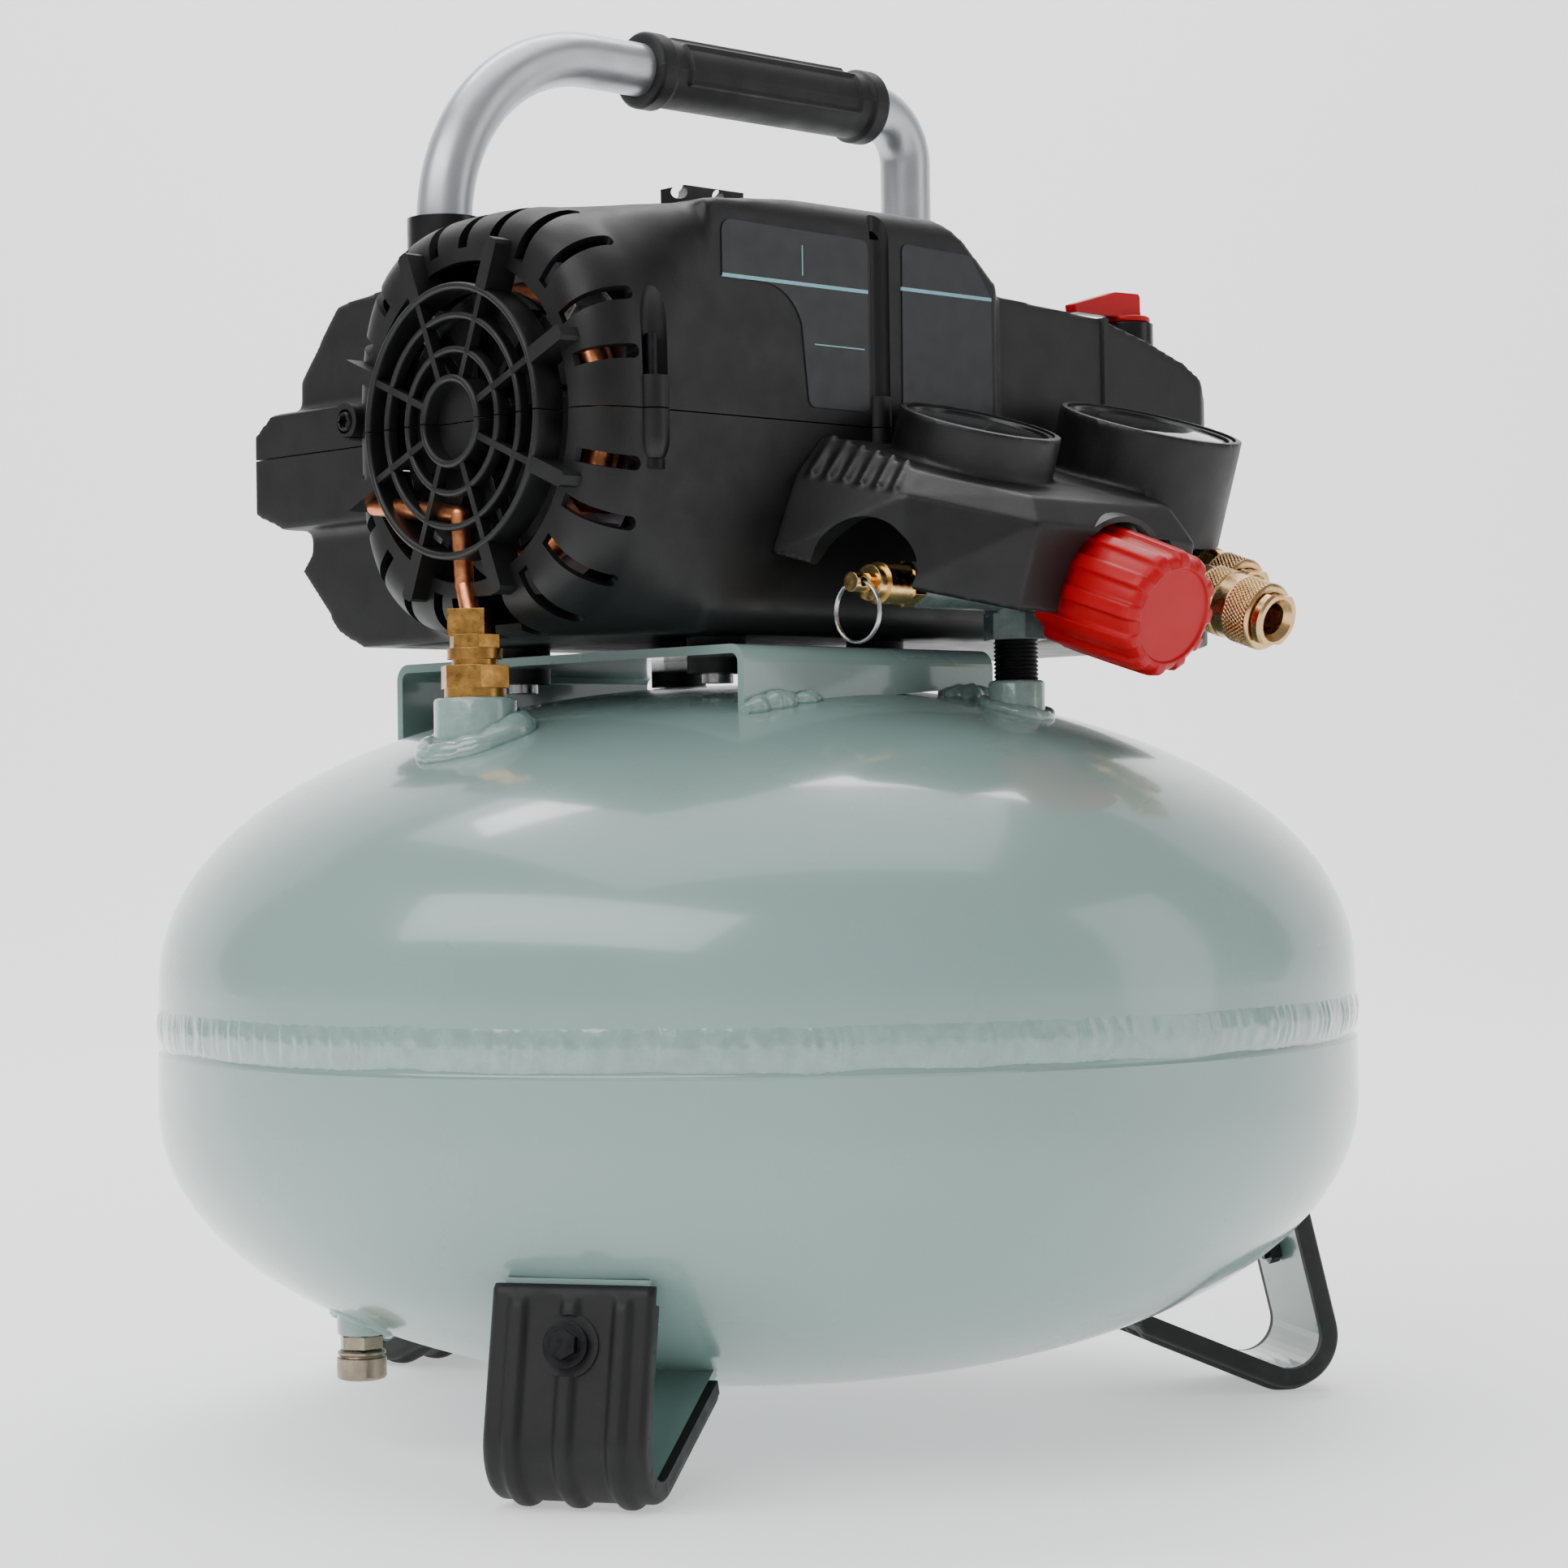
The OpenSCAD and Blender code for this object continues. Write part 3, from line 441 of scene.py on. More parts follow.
def tank_shells():
    upper = [(TANK_R, SEAM_Z)] + dome(TANK_R, UPPER_SPRING, TANK_TOP - UPPER_SPRING)
    inner = dome(TANK_R - SHEET, UPPER_SPRING, TANK_TOP - UPPER_SPRING - SHEET)
    upper += inner[::-1] + [(TANK_R - SHEET, SEAM_Z)]
    place(lathe("upper", upper, steps=256, loop=True), "tank_upper_skin", PAINT, "paint",
          stands_for=["tank_upper_shell"])
    neck = [(LOW_R - 1.3, SEAM_Z), (LOW_R - 1.3, 130.6), (LOW_R - 0.9, 129.7), (LOW_R - 0.1, 129.0)]
    lower = neck + dome(LOW_R, LOWER_SPRING, TANK_BOTTOM - LOWER_SPRING)
    inner = dome(LOW_R - SHEET, LOWER_SPRING, TANK_BOTTOM - LOWER_SPRING + SHEET)
    lower += inner[::-1] + [(LOW_R - SHEET - 1.3, SEAM_Z)]
    place(lathe("lower", lower, steps=256, loop=True), "tank_lower_skin", PAINT, "paint",
          stands_for=["tank_lower_shell"])


def girth_bead():
    """The girth weld: a low bead whose ripples lean both ways from its middle."""
    ripples, rows, steps = 210, 15, 2400
    low_z, high_z = WELD_LOW.z, WELD_HIGH.z
    angles = np.linspace(0, 2 * pi, steps, endpoint=False)
    drift = np.array([noise.noise((9 * cos(a), 9 * sin(a), 1.7)) for a in angles])
    lumps = np.array([noise.noise((46 * cos(a), 46 * sin(a), 4.2)) for a in angles])
    patches = np.array([max(0.1, 0.55 + noise.noise((14 * cos(a), 14 * sin(a), 8.8))) for a in angles])
    rings = []
    for v in np.linspace(0, 1, rows):
        lean = abs(v - 0.5) * 2
        wave = np.sin(ripples * angles + 2.6 * lean + 3.5 * lumps + 14 * drift) * patches
        crown = sin(pi * v) ** 0.8
        radius = (LOW_R - 1.2) * (1 - v) + (TANK_R - 0.3) * v + crown * (1.25 + 0.4 * lumps + 0.28 * wave)
        z = low_z + (high_z - low_z) * v + (0.9 * drift + 0.2 * wave) * (1 if v in (0, 1) else 0.4)
        radius = np.minimum(radius, BEAD_R)
        rings.append(np.stack([radius * np.cos(angles), radius * np.sin(angles), z]).T)
    inner = TANK_R - 1.6
    for z in (high_z - 1, low_z + 1):
        rings.append(np.stack([inner * np.cos(angles), inner * np.sin(angles), np.full(steps, z)]).T)
    place(skin("bead", rings, True), "girth_weld_bead", WELD, "paint", stands_for=["girth_weld"], sharp=60)


def dome_height(x, y, spring=UPPER_SPRING, pole=TANK_TOP):
    """Height of the upper dome's skin, or of the lower dome's from its own springing and pole."""
    share = (x * x + y * y) ** 0.5 / TANK_R
    return spring + (pole - spring) * (1 - share ** DOME_POWER) ** (1 / DOME_POWER)


def belly_height(x, y):
    return dome_height(x, y, LOWER_SPRING, TANK_BOTTOM)


def blob(points, radii, seed):
    """Uneven weld metal along a line: a swept tube with a bumpy skin."""
    bead = tube("weld", points, radii, 22)
    for vertex in bead.data.vertices:
        place_at = vertex.co
        bump = noise.noise(place_at * 0.28 + Vector((seed, 0, 0))) + 0.5 * noise.noise(place_at * 0.8)
        vertex.co = place_at + Vector((0, 0, 0.8 * bump))
    return bead


def boss(x, y, r, bore, top, foot):
    """A turned socket from inside the tank's skin to its lip; top may be below foot."""
    way = 1 if top > foot else -1
    return lathe("boss", [(bore, foot), (r, foot), (r, top - way * 1.2), (r - 0.4, top - way * 0.4),
                          (r - 1.2, top), (bore, top)], "z", (x, y, 0), 72, True)


def boss_weld(x, y, r, size, seed, level=dome_height):
    """Weld metal round a socket's foot, following the skin it stands on."""
    points, radii = [], []
    for t in np.linspace(0, 2 * pi, 61):
        swell = noise.noise((1.3 * cos(t), 1.3 * sin(t), seed))
        reach = r + 0.35 * size * (1 + 0.6 * swell)
        px, py = x + reach * cos(t), y + reach * sin(t)
        points.append((px, py, level(px, py) + 0.25 * size))
        radii.append(size * (1 + 0.45 * swell))
    return blob(points, radii, seed)


def tank_sockets():
    drain_low, drain_high = corners("drain_knob")
    drain_x, drain_y = (drain_low.x + drain_high.x) / 2, (drain_low.y + drain_high.y) / 2
    nipple_low, nipple_high = corners("outlet_nipple")
    riser_x, riser_y = (nipple_low.x + nipple_high.x) / 2, (nipple_low.y + nipple_high.y) / 2
    parts = [boss(CHECK_X, CHECK_Y, 13.5, 9, 246, 219), boss_weld(CHECK_X, CHECK_Y, 13.5, 4.4, 3),
             boss_weld(CHECK_X, CHECK_Y, 16, 2.8, 11),
             boss(riser_x, riser_y, 9.5, 5, 250.5, 226), boss_weld(riser_x, riser_y, 9.8, 2.4, 8),
             boss(drain_x, drain_y, 8, 5, 37.7, 57), boss_weld(drain_x, drain_y, 8, 2, 5, belly_height)]
    place(joined("sockets", parts), "tank_socket_welds", WELD, "paint", stands_for=["tank_bosses"])


def bracket_welds():
    """Weld metal along the feet of the pump bracket's two legs."""
    low, high = corners("motor_bracket")
    parts = []
    for leg_y, way in ((low.y, -1), (high.y, 1)):
        for start, end, size in ((low.x - 2, low.x + 24, 4.4), (low.x + 18, low.x + 33, 2.4),
                                 (high.x - 24, high.x + 1, 4.0)):
            spread = np.linspace(0, 1, 26)
            points, radii = [], []
            for share in spread:
                x = start + (end - start) * share
                wander = noise.noise((x * 0.16, leg_y, 5))
                y = leg_y + way * (1.6 + 1.6 * wander)
                points.append((x, y, dome_height(x, y) + 0.8))
                radii.append(size * sin(pi * (0.06 + 0.88 * share)) ** 0.6 * (1 + 0.45 * wander))
            parts.append(blob(points, radii, start))
    place(joined("welds", parts), "bracket_leg_welds", WELD, "paint")


# ---------------------------------------------------------------- feet
FOOT_X = 186
FOOT_ARC = 20
FOOT_LEAN = 13.4
FOOT_SLOPE = 23
FOOT_HALF = 25.5
FOOT_TOP = 68
BOLT_SPOT = (FOOT_X + 13.35, 0, 50)
STRAP_T = 3.2
RUBBER_T = 5.5
RIBS = (-16.5, 0, 16.5)


def foot_path():
    """Outer side line of the foot, from the top of the outer leg to the end of the inner leg."""
    cx, cz = FOOT_X, FOOT_ARC - 0.4
    lean, slope = radians(FOOT_LEAN), radians(270 - FOOT_SLOPE)
    start = (cx + FOOT_ARC * cos(lean), cz + FOOT_ARC * sin(lean))
    rise = (FOOT_TOP - start[1]) / sin(lean + pi / 2)
    line = [(start[0] + rise * t * cos(lean + pi / 2), start[1] + rise * t * sin(lean + pi / 2))
            for t in np.linspace(1, 0, 26)[:-1]]
    bend = arc(cx, cz, FOOT_ARC, FOOT_LEAN, 270 - FOOT_SLOPE - 360, 30)
    run = [(bend[-1][0] + 54 * t * cos(slope - pi / 2), bend[-1][1] + 54 * t * sin(slope - pi / 2))
           for t in np.linspace(0, 1, 20)[1:]]
    return line + bend + run


def foot_rubber():
    path = np.array(foot_path())
    tangent = np.gradient(path, axis=0)
    tangent /= np.linalg.norm(tangent, axis=1)[:, None]
    inward = np.stack([tangent[:, 1], -tangent[:, 0]], 1)
    length = np.concatenate([[0], np.cumsum(np.linalg.norm(np.diff(path, axis=0), axis=1))])
    across = np.linspace(-FOOT_HALF, FOOT_HALF, 103)
    rings = []
    for point, inner, way, s in zip(path, inward, tangent, length):
        grown = np.clip((s - 4.5) / 2.5, 0, 1) * np.clip((length[-1] - s - 3) / 6, 0, 1)
        grown = np.sqrt(grown * (2 - grown))
        ends = 1.6 * max(0, 1 - s / 2.2) ** 2 + 1.6 * max(0, 1 - (length[-1] - s) / 2.2) ** 2
        rib = sum(np.exp(-((across - c) / 2.8) ** 4) for c in RIBS)
        edge = np.clip((np.abs(across) - (FOOT_HALF - 2.4)) / 2.4, 0, 1)
        depth = 1.9 * (1 - rib * grown) + 1.3 * edge ** 2 + ends
        outer = np.stack([point[0] + inner[0] * depth, across, point[1] + inner[1] * depth], 1)
        back = np.array([[point[0] + inner[0] * RUBBER_T, w, point[1] + inner[1] * RUBBER_T]
                         for w in np.linspace(FOOT_HALF, -FOOT_HALF, 9)])
        rings.append(np.concatenate([outer, back]))
    rubber = skin("foot", rings)
    lip_back = RUBBER_T + STRAP_T
    shown = path[path[:, 1] < FOOT_TOP - 5]
    tangent = np.gradient(shown, axis=0)
    tangent /= np.linalg.norm(tangent, axis=1)[:, None]
    inward = np.stack([tangent[:, 1], -tangent[:, 0]], 1)
    for side in (-1, 1):
        lip = [np.array([[q[0] + n[0] * d, side * w, q[1] + n[1] * d]
                         for d, w in ((4, FOOT_HALF), (lip_back, FOOT_HALF), (lip_back, FOOT_HALF - 2.9),
                                      (4, FOOT_HALF - 2.9))]) for q, n in zip(shown, inward)]
        carve(rubber, "UNION", skin("lip", lip))
    move = Matrix.Translation(BOLT_SPOT) @ Matrix.Rotation(radians(-FOOT_LEAN), 4, "Y")
    seat, floor = rod("x", (0, 0), 9.2, -1.2, 9), rod("x", (0, 0), 9.6, -5, -1.2)
    bore = rod("x", (0, 0), 2.7, -12, 6)
    for cutter in (seat, floor, bore):
        cutter.data.transform(move)
    carve(rubber, "DIFFERENCE", seat)
    carve(rubber, "UNION", floor)
    carve(rubber, "DIFFERENCE", bore, block((0, 400), (-60, 60), (-9, 0)))
    return rubber


def foot_rubbers():
    feet = []
    for turn in (90, 210, 330):
        rubber = foot_rubber()
        rubber.data.transform(Matrix.Rotation(radians(turn), 4, "Z"))
        feet.append(rubber)
    place(joined("feet", feet), "foot_rubber_pads", RUBBER, "rubber", stands_for=["foot_rubbers"], sharp=50)


# ---------------------------------------------------------------- shroud
WALL = 2.4
DRUM_Y = -1.0
DRUM_HALF_Y = 66
DRUM_HALF_Z = 70
DRUM_POWER = 3.0
RIM_X = FACE_X + 7
SHOULDER = 13
SHOULDER_X = 18
BOX_X = -80
END_X = 178
FRONT_Y = -67
GRILLE_Y = 0
OPENING_R = 52.5
SLOT_W = 4.5
TOWERS = [(-103, 378, 5.4), (-2, 430, 4.6)]
LEDGE_Z = 346.5
LEVER = (152, -42)
FRONT_SCREW = (61.5, 341.5)


def drum(inset):
    turns = np.linspace(0, 2 * pi, 240, endpoint=False)

    def ring(x, shrink, power):
        across = (np.abs(np.cos(turns)) / (DRUM_HALF_Y - shrink)) ** power
        reach = (across + (np.abs(np.sin(turns)) / (DRUM_HALF_Z - shrink)) ** power) ** (-1 / power)
        return np.stack([np.full(len(turns), x), DRUM_Y + reach * np.cos(turns),
                         SPLIT_Z + reach * np.sin(turns)], 1)
    rings = [ring(RIM_X + inset + (SHOULDER_X - inset) * (1 - cos(t)),
                  inset + (SHOULDER - inset) * (1 - sin(t)), DRUM_POWER) for t in np.linspace(0, pi / 2, 10)]
    rings += [ring(x, inset, power) for x, power in ((-100, 4), (-92, 6), (-84, 9), (-76, 12), (-58, 12))]
    return skin("drum", rings)


def shroud_box(i):
    section = round_box(FRONT_Y + i, 66 - i, 266 + i, 411 - i, 11)
    body = prism(section, "x", BOX_X + i, END_X - i)
    side = [(BOX_X + i, 266 + i), (END_X - i, 266 + i), (END_X - i, 350), (END_X - 2 - i, 357),
            (170 - i, 364.5 - i),
            (159 - i, 370.5 - i), (139, 377 - i), (114, 383 - i),
            (60 - i, 386.5 - i), (53 - i, 392 - i), (31 - i, 411 - i), (-27, 411.5 - i), (BOX_X + i, 406 - i)]
    plan = [(BOX_X + i, FRONT_Y + i), (55 - i, FRONT_Y + i), (59 - i, -63.5 + i),
            (168 - i * 0.5, -63.5 + i), (174 - i, -60 + i), (END_X - i, -50 + i), (END_X - i, 90),
            (BOX_X + i, 90)]
    return carve(body, "INTERSECT", prism(side, "y", -110, 110), prism(plan, "z", 200, 500))


def head_bulge(i):
    """The stepped cover of the cylinder head, as three layers."""
    upper = [(20, 396 - i), (104 - i * 0.6, 388 - i), (126 - i, 363), (126 - i, 354), (120, 340), (20, 340)]
    middle = [(20, 352 - i), (134, 352 - i), (144 - i, 345 - i), (144 - i, 316 + i), (128, 310 + i),
              (20, 310 + i)]
    lower = [(20, 320), (119, 318), (119 - i, 302), (125 - i, 296), (104 - i * 0.6, 273 + i),
             (91 - i * 0.4, 267 + i), (20, 266 + i)]
    return [prism(upper, "x", -101 + i, 60 - i), prism(middle, "x", -108 + i, 62 - i),
            prism(lower, "x", -102 + i, 60 - i)]


def shroud_parts(i):
    return [shroud_box(i), drum(i), *head_bulge(i),
            block((130 + i, END_X - i), (20, 86 - i), (266 + i, 366 - i))]


def ring_bar(radius, width, front, back):
    """One ring of the grille, with a rounded front."""
    half = width / 2
    nose = [(radius - half + half * (1 - cos(t)), front + half * (1 - sin(t))) for t in np.linspace(0, pi, 7)]
    return lathe("ring", nose + [(radius + half, back), (radius - half, back)], "x",
                 (0, GRILLE_Y, SPLIT_Z), 128, True)


def spoke(turn, width, front, back, inner, outer):
    half = width / 2
    bar = prism([(-half, inner), (half, inner), (half, outer - 1.2), (half - 1, outer), (1 - half, outer),
                 (-half, outer - 1.2)], "x", front, back)
    bar.data.transform(Matrix.Translation((0, GRILLE_Y, SPLIT_Z)) @ Matrix.Rotation(radians(turn), 4, "X"))
    return bar


def vent(turn):
    """A slot that starts near the opening's rim and wraps over the shoulder to a round end."""
    half = SLOT_W / 2
    outline = [(FACE_X - 3, -half)] + arc(-111.5, 0, half, -90, 90) + [(FACE_X - 3, half)]
    cutter = prism(outline, "z", 57, 95)
    cutter.data.transform(Matrix.Translation((0, GRILLE_Y, SPLIT_Z)) @ Matrix.Rotation(radians(turn), 4, "X"))
    return cutter


def grille():
    """Three thin rings and a deep one, their spokes, and eight posts that hold them off the slotted rim."""
    bars = [ring_bar(r - 1.1, 2.4, FACE_X + 0.8, FACE_X + 5) for r in (24.5, 35.5)]
    bars.append(ring_bar(45 - 1.2, 2.6, FACE_X, FACE_X + 11))
    bars += [ring_bar(14, 2.6, FACE_X, FACE_X + 9),
             rod("x", (GRILLE_Y, SPLIT_Z), 13.5, FACE_X + 6.5, FACE_X + 8)]
    for turn in np.arange(22.5, 360, 45):
        bars.append(spoke(turn, 2.3, FACE_X + 0.9, FACE_X + 4.4, 14, 44.5))
        bars.append(spoke(turn, 5.2, FACE_X + 0.3, FACE_X + 11.4, 43.4, 61.5))
    return bars


def screw_seat():
    return rod("x", FRONT_SCREW, 6.4, RIM_X - 2.6, RIM_X + 14, 40)


def front_screw():
    """A screw with a six-lobed socket, facing the fan end beside the split."""
    def lobed(r, h, angles):
        return r * (1 + 0.16 * np.cos(6 * angles)) if r < 2.3 else np.full(len(angles), float(r))
    head = [(3.3, RIM_X + 1), (3.7, RIM_X - 0.6), (3.6, RIM_X - 2.2), (2.9, RIM_X - 3.3), (2.25, RIM_X - 3.5),
            (2.15, RIM_X - 3.4), (1.9, RIM_X - 1.2), (0.05, RIM_X - 1.2)]
    place(lathe("screw", [(0.05, RIM_X + 1)] + head, "x", (0, *FRONT_SCREW), 72, False, lobed),
          "shroud_front_screw", BLACK_STEEL, "black_steel")


def screw_tower(x, r):
    """A half-round boss up to the screw's ledge."""
    foot = [(r * sin(t), 318 + 9 * (1 - cos(t))) for t in np.linspace(0.05, pi / 2, 8)]
    return lathe("tower", foot + [(r, LEDGE_Z)], "z", (x, FRONT_Y + 1.6, 0), 40)


def screw_channel(x, top, r):
    head = [(r * 0.98 * cos(t), top - 14 + 14 * sin(t)) for t in np.linspace(0, pi / 2 - 0.05, 8)]
    return lathe("channel", [(r * 0.98, LEDGE_Z), *head], "z", (x, FRONT_Y - 0.6, 0), 40)


def top_groove(x):
    """A slanted groove over the drum's front shoulder."""
    return ball_rod((x, -58, 409), (x + 16, -30, 413), 2.2)


def shroud():
    body = fuse("shroud", shroud_parts(0), 1.5, 6)
    hollow = fuse("hollow", shroud_parts(WALL), 2.5, 2)
    raised = [screw_tower(x, r) for x, top, r in TOWERS] + [screw_seat()]
    raised.append(block((-74, -48), (-50, -38), (402, 412.5)))
    raised.append(prism([(112, -61), (113.5, -64.6), (116, -64.6), (117.5, -61)], "z", 300, 383))
    carve(body, "UNION", *raised)
    keep = [rod("z", (x, FRONT_Y + 3.6), r + 1.6, 300, 400) for x, top, r in TOWERS]
    hollow = carve(hollow, "DIFFERENCE", *keep)
    cuts = [hollow, rod("x", (GRILLE_Y, SPLIT_Z), OPENING_R, FACE_X - 2, FACE_X + 20, 128),
            rod("x", FRONT_SCREW, 4.2, RIM_X - 4, RIM_X - 0.4, 40)]
    cuts += [vent(t) for t in range(0, 360, 15) if t not in (90, 270, 285)]
    cuts += [screw_channel(*t) for t in TOWERS]
    cuts += [top_groove(x) for x in (-96, -80, -64, -48)]
    cuts += [block((-145, -117), (-18, 8), (250, 279))]
    posts = corners("handle_sockets")
    cuts += [rod("z", (x, (posts[0].y + posts[1].y) / 2), 13.2, 350, 430) for x in (-79, 150)]
    cuts += [rod("z", LEVER, 10.2, 360, 420), rod("x", (20, 290), 8, END_X - 8, END_X + 8)]
    carve(body, "DIFFERENCE", *cuts)
    carve(body, "UNION", *grille())
    lower = body.copy()
    lower.data = body.data.copy()
    bpy.context.scene.collection.objects.link(lower)
    gap = 0.22
    carve(body, "INTERSECT", block((-200, 200), (-200, 200), (SPLIT_Z + gap, 500)))
    carve(lower, "INTERSECT", block((-200, 200), (-200, 200), (200, SPLIT_Z - gap)))
    place(body, "shroud_upper_shell", BLACK_PLASTIC, "black_plastic", stands_for=["shroud_upper"])
    place(lower, "shroud_lower_shell", BLACK_PLASTIC, "black_plastic", stands_for=["shroud_lower"])


def labels():
    """Plain rating panels with a turquoise line, without any lettering."""
    front = FRONT_Y - 0.45
    left = [(-74, 381), (-56, 380.4)] + arc(-56, 362, 18.4, 90, 20, 8)[1:] + [(-36, 344)]
    left += arc(-33, 344, 3, 180, 270, 4)[1:] + arc(-10.5, 343.5, 2.5, 270, 360, 4)
    left += arc(-10.5, 396, 2.5, 0, 90, 4) + arc(-70, 395.5, 4, 90, 180, 4)
    right = arc(10, 343, 2, 180, 270, 4) + arc(50, 343, 2, 270, 360, 4) + [(52, 384), (42, 398)]
    right += arc(11, 396.5, 2.5, 90, 180, 4)
    panels = [prism(left, "y", front, FRONT_Y + 1), prism(right, "y", front, FRONT_Y + 1)]
    place(joined("labels", panels), "rating_panels", LABEL, "smooth_plastic")
    lines = [block((-74, -8), (front - 0.08, FRONT_Y), (380.6, 381.8)),
             block((8, 52), (front - 0.08, FRONT_Y), (383.2, 384.4)),
             block((-38.4, -38), (front - 0.08, FRONT_Y), (384, 394)),
             block((-33, -10), (front - 0.08, FRONT_Y), (361.6, 362))]
    place(joined("lines", lines), "rating_panel_lines", LABEL_LINE, "smooth_plastic")


# ---------------------------------------------------------------- handle
def handle():
    tube_low, tube_high = corners("handle_tube")
    radius = (tube_high.y - tube_low.y) / 2
    y = (tube_low.y + tube_high.y) / 2
    left, right = tube_low.x + radius, tube_high.x - radius
    top = tube_high.z - radius
    big, small = 66, 20
    line = [(left, z) for z in np.linspace(tube_low.z, top - big, 8)]
    line += arc(left + big, top - big, big, 180, 90, 40)[1:]
    line += [(x, top) for x in np.linspace(left + big, right - small, 10)[1:]]
    line += arc(right - small, top - small, small, 90, 0, 28)[1:]
    line += [(right, z) for z in np.linspace(top - small, tube_low.z, 8)[1:]]
    place(tube("tube", [(x, y, z) for x, z in line], radius, 64), "handle_bent_tube", SILVER, "silver_tube",
          stands_for=["handle_tube"])
    return y, top


def grip(y, z):
    """The rubber sleeve: end collars, a raised panel on top, a long groove and a moulding seam."""
    low, high = corners("handle_grip")
    length = high.x - low.x
    angles = np.linspace(-pi, pi, 220, endpoint=False)
    rings = []
    for x in np.linspace(0, length, 190):
        end = min(x, length - x)
        collar = np.clip((9 - end) / 1.5, 0, 1)
        lip = 1.5 * max(0, 1 - end / 1.6) ** 2
        base = 12.5 + 1.6 * collar * collar * (3 - 2 * collar) - lip
        rim = np.zeros(len(angles))
        for middle, half in ((0.35, 0.5), (-1.35, 0.62)):
            across = np.abs(((angles - middle + pi) % (2 * pi)) - pi)
            rim = np.maximum(rim, np.exp(-((across - half) / 0.06) ** 2) * np.clip((end - 14) / 1.2, 0, 1))
            rim = np.maximum(rim, np.exp(-((end - 15) / 0.8) ** 2) * (across < half))
        seam = np.exp(-(((np.abs(angles) - pi / 2) / 0.03) ** 2))
        radius = np.minimum(base + 1.25 * rim + 0.2 * seam, 14.3)
        rings.append(np.stack([np.full(len(angles), low.x + x), y + radius * np.sin(angles),
                               z + radius * np.cos(angles)], 1))
    inner = [np.stack([np.full(len(angles), x), y + 9.85 * np.sin(angles), z + 9.85 * np.cos(angles)], 1)
             for x in (high.x, low.x)]
    place(skin("grip", rings + inner, True), "handle_grip_sleeve", RUBBER, "rubber",
          stands_for=["handle_grip"],
          sharp=55)


# ---------------------------------------------------------------- console
CUPS = {"left": (13.5, 19.0, 52.5, 27.5), "right": (93.5, 15.0, 58.0, 32.0)}
KNOB_X = 33
ARCH_R = 24
COUPLERS = {"left": (85, -14), "right": (115, 23)}
COUPLER_LEN = 51.5
AXIS_Z = 8.5
CAGE = [  # bottom, ridge and plateau points of each corner, going round from the back left
    ((-54, 34, 0), (-42.5, 42, 25), (-30, 47, 38)),
    ((-39, -9, 1), (-36.5, -2.5, 30), (-27, 4, 37)),
    ((-9, -35.5, 1), (-7.5, -35.5, 30), (-3, -26, 37)),
    ((9, -36.5, 1), (9, -36.5, 30), (9, -27, 37)),
    ((70, -36.5, 1), (69, -36.5, 27), (63, -27, 37)),
    ((77, -30, 1), (77, -27, 20), (70, -18, 37)),
    ((77, 70, 1), (77, 70, 20), (74, 70, 37)),
    ((-50, 70, 0), (-38, 70, 25), (-28, 70, 38))]


def console_cage(inset):
    middle = np.array([20, 10, 0])
    rings = []
    for level in range(3):
        ring = []
        for corner in CAGE:
            point = np.array(corner[level], float)
            away = point[:2] - middle[:2]
            point[:2] -= inset * np.sign(away) * np.array([1, 1])
            if level == 2:
                point[2] -= inset
            if level == 0:
                point[2] -= inset * 2
            ring.append(point)
        rings.append(np.array(ring))
    return skin("cage", rings)


def console_rib(share):
    """A slanted rib on the bevel of the console's left shoulder."""
    low = np.array(CAGE[0][1]) * (1 - share) + np.array(CAGE[1][1]) * share
    high = np.array(CAGE[0][2]) * (1 - share) + np.array(CAGE[1][2]) * share
    start, end = low * 0.86 + high * 0.14, low * 0.05 + high * 0.95
    end = end + np.array([3, 2.5, 0.8])
    return ball_rod(start, end, 1.7)


def console():
    parts = [console_cage(0)]
    for name, (x, y, rim, r) in CUPS.items():
        foot = 1 if name == "right" else 28
        parts.append(rod("z", (x, y), r, foot, rim, 96))
    parts += [console_rib(s) for s in np.linspace(0.12, 0.9, 6)]
    cover = fuse("console", parts, 0.95, 4)
    cuts = [console_cage(2.6)]
    for x, y, rim, r in CUPS.values():
        cuts.append(rod("z", (x, y), r - 2.2, -10, rim + 5, 96))
    arch = prism([(-12, -8)] + arc(4, 3.5, 17, 170, 10, 20)[::1] + [(21, -8)], "x", -70, -28)
    cuts.append(arch)
    frame_cut = [(10, -8), (10, 21), (15, 27.5), (56, 27.5), (67, 17), (67, -8)]
    cuts.append(prism(frame_cut, "y", -45, -33))
    cuts.append(rod("y", (KNOB_X, AXIS_Z), ARCH_R, -45, -20, 96))
    cuts.append(block((KNOB_X - ARCH_R, KNOB_X + ARCH_R), (-45, -20), (-10, AXIS_Z)))
    cuts.append(block((72.6, 135), (-17, 40), (-6, 21)))
    cuts.append(rod("y", (85, AXIS_Z), 13, -45, -10, 64))
    carve(cover, "DIFFERENCE", *cuts)
    lip = lathe("lip", [(ARCH_R, -36), (ARCH_R + 2, -36), (ARCH_R + 2, -31), (ARCH_R, -31)], "y",
                (KNOB_X, 0, AXIS_Z), 96, True)
    lip = carve(lip, "DIFFERENCE", block((KNOB_X - 30, KNOB_X + 30), (-45, -20), (-30, 1)))
    carve(cover, "UNION", lip)
    cover.data.transform(CONSOLE)
    carve(cover, "INTERSECT", block((-90, 200), (-200, FRONT_Y - 0.4), (240, 380)))
    place(cover, "console_cover_shell", BLACK_PLASTIC, "black_plastic", stands_for=["console_cover"])


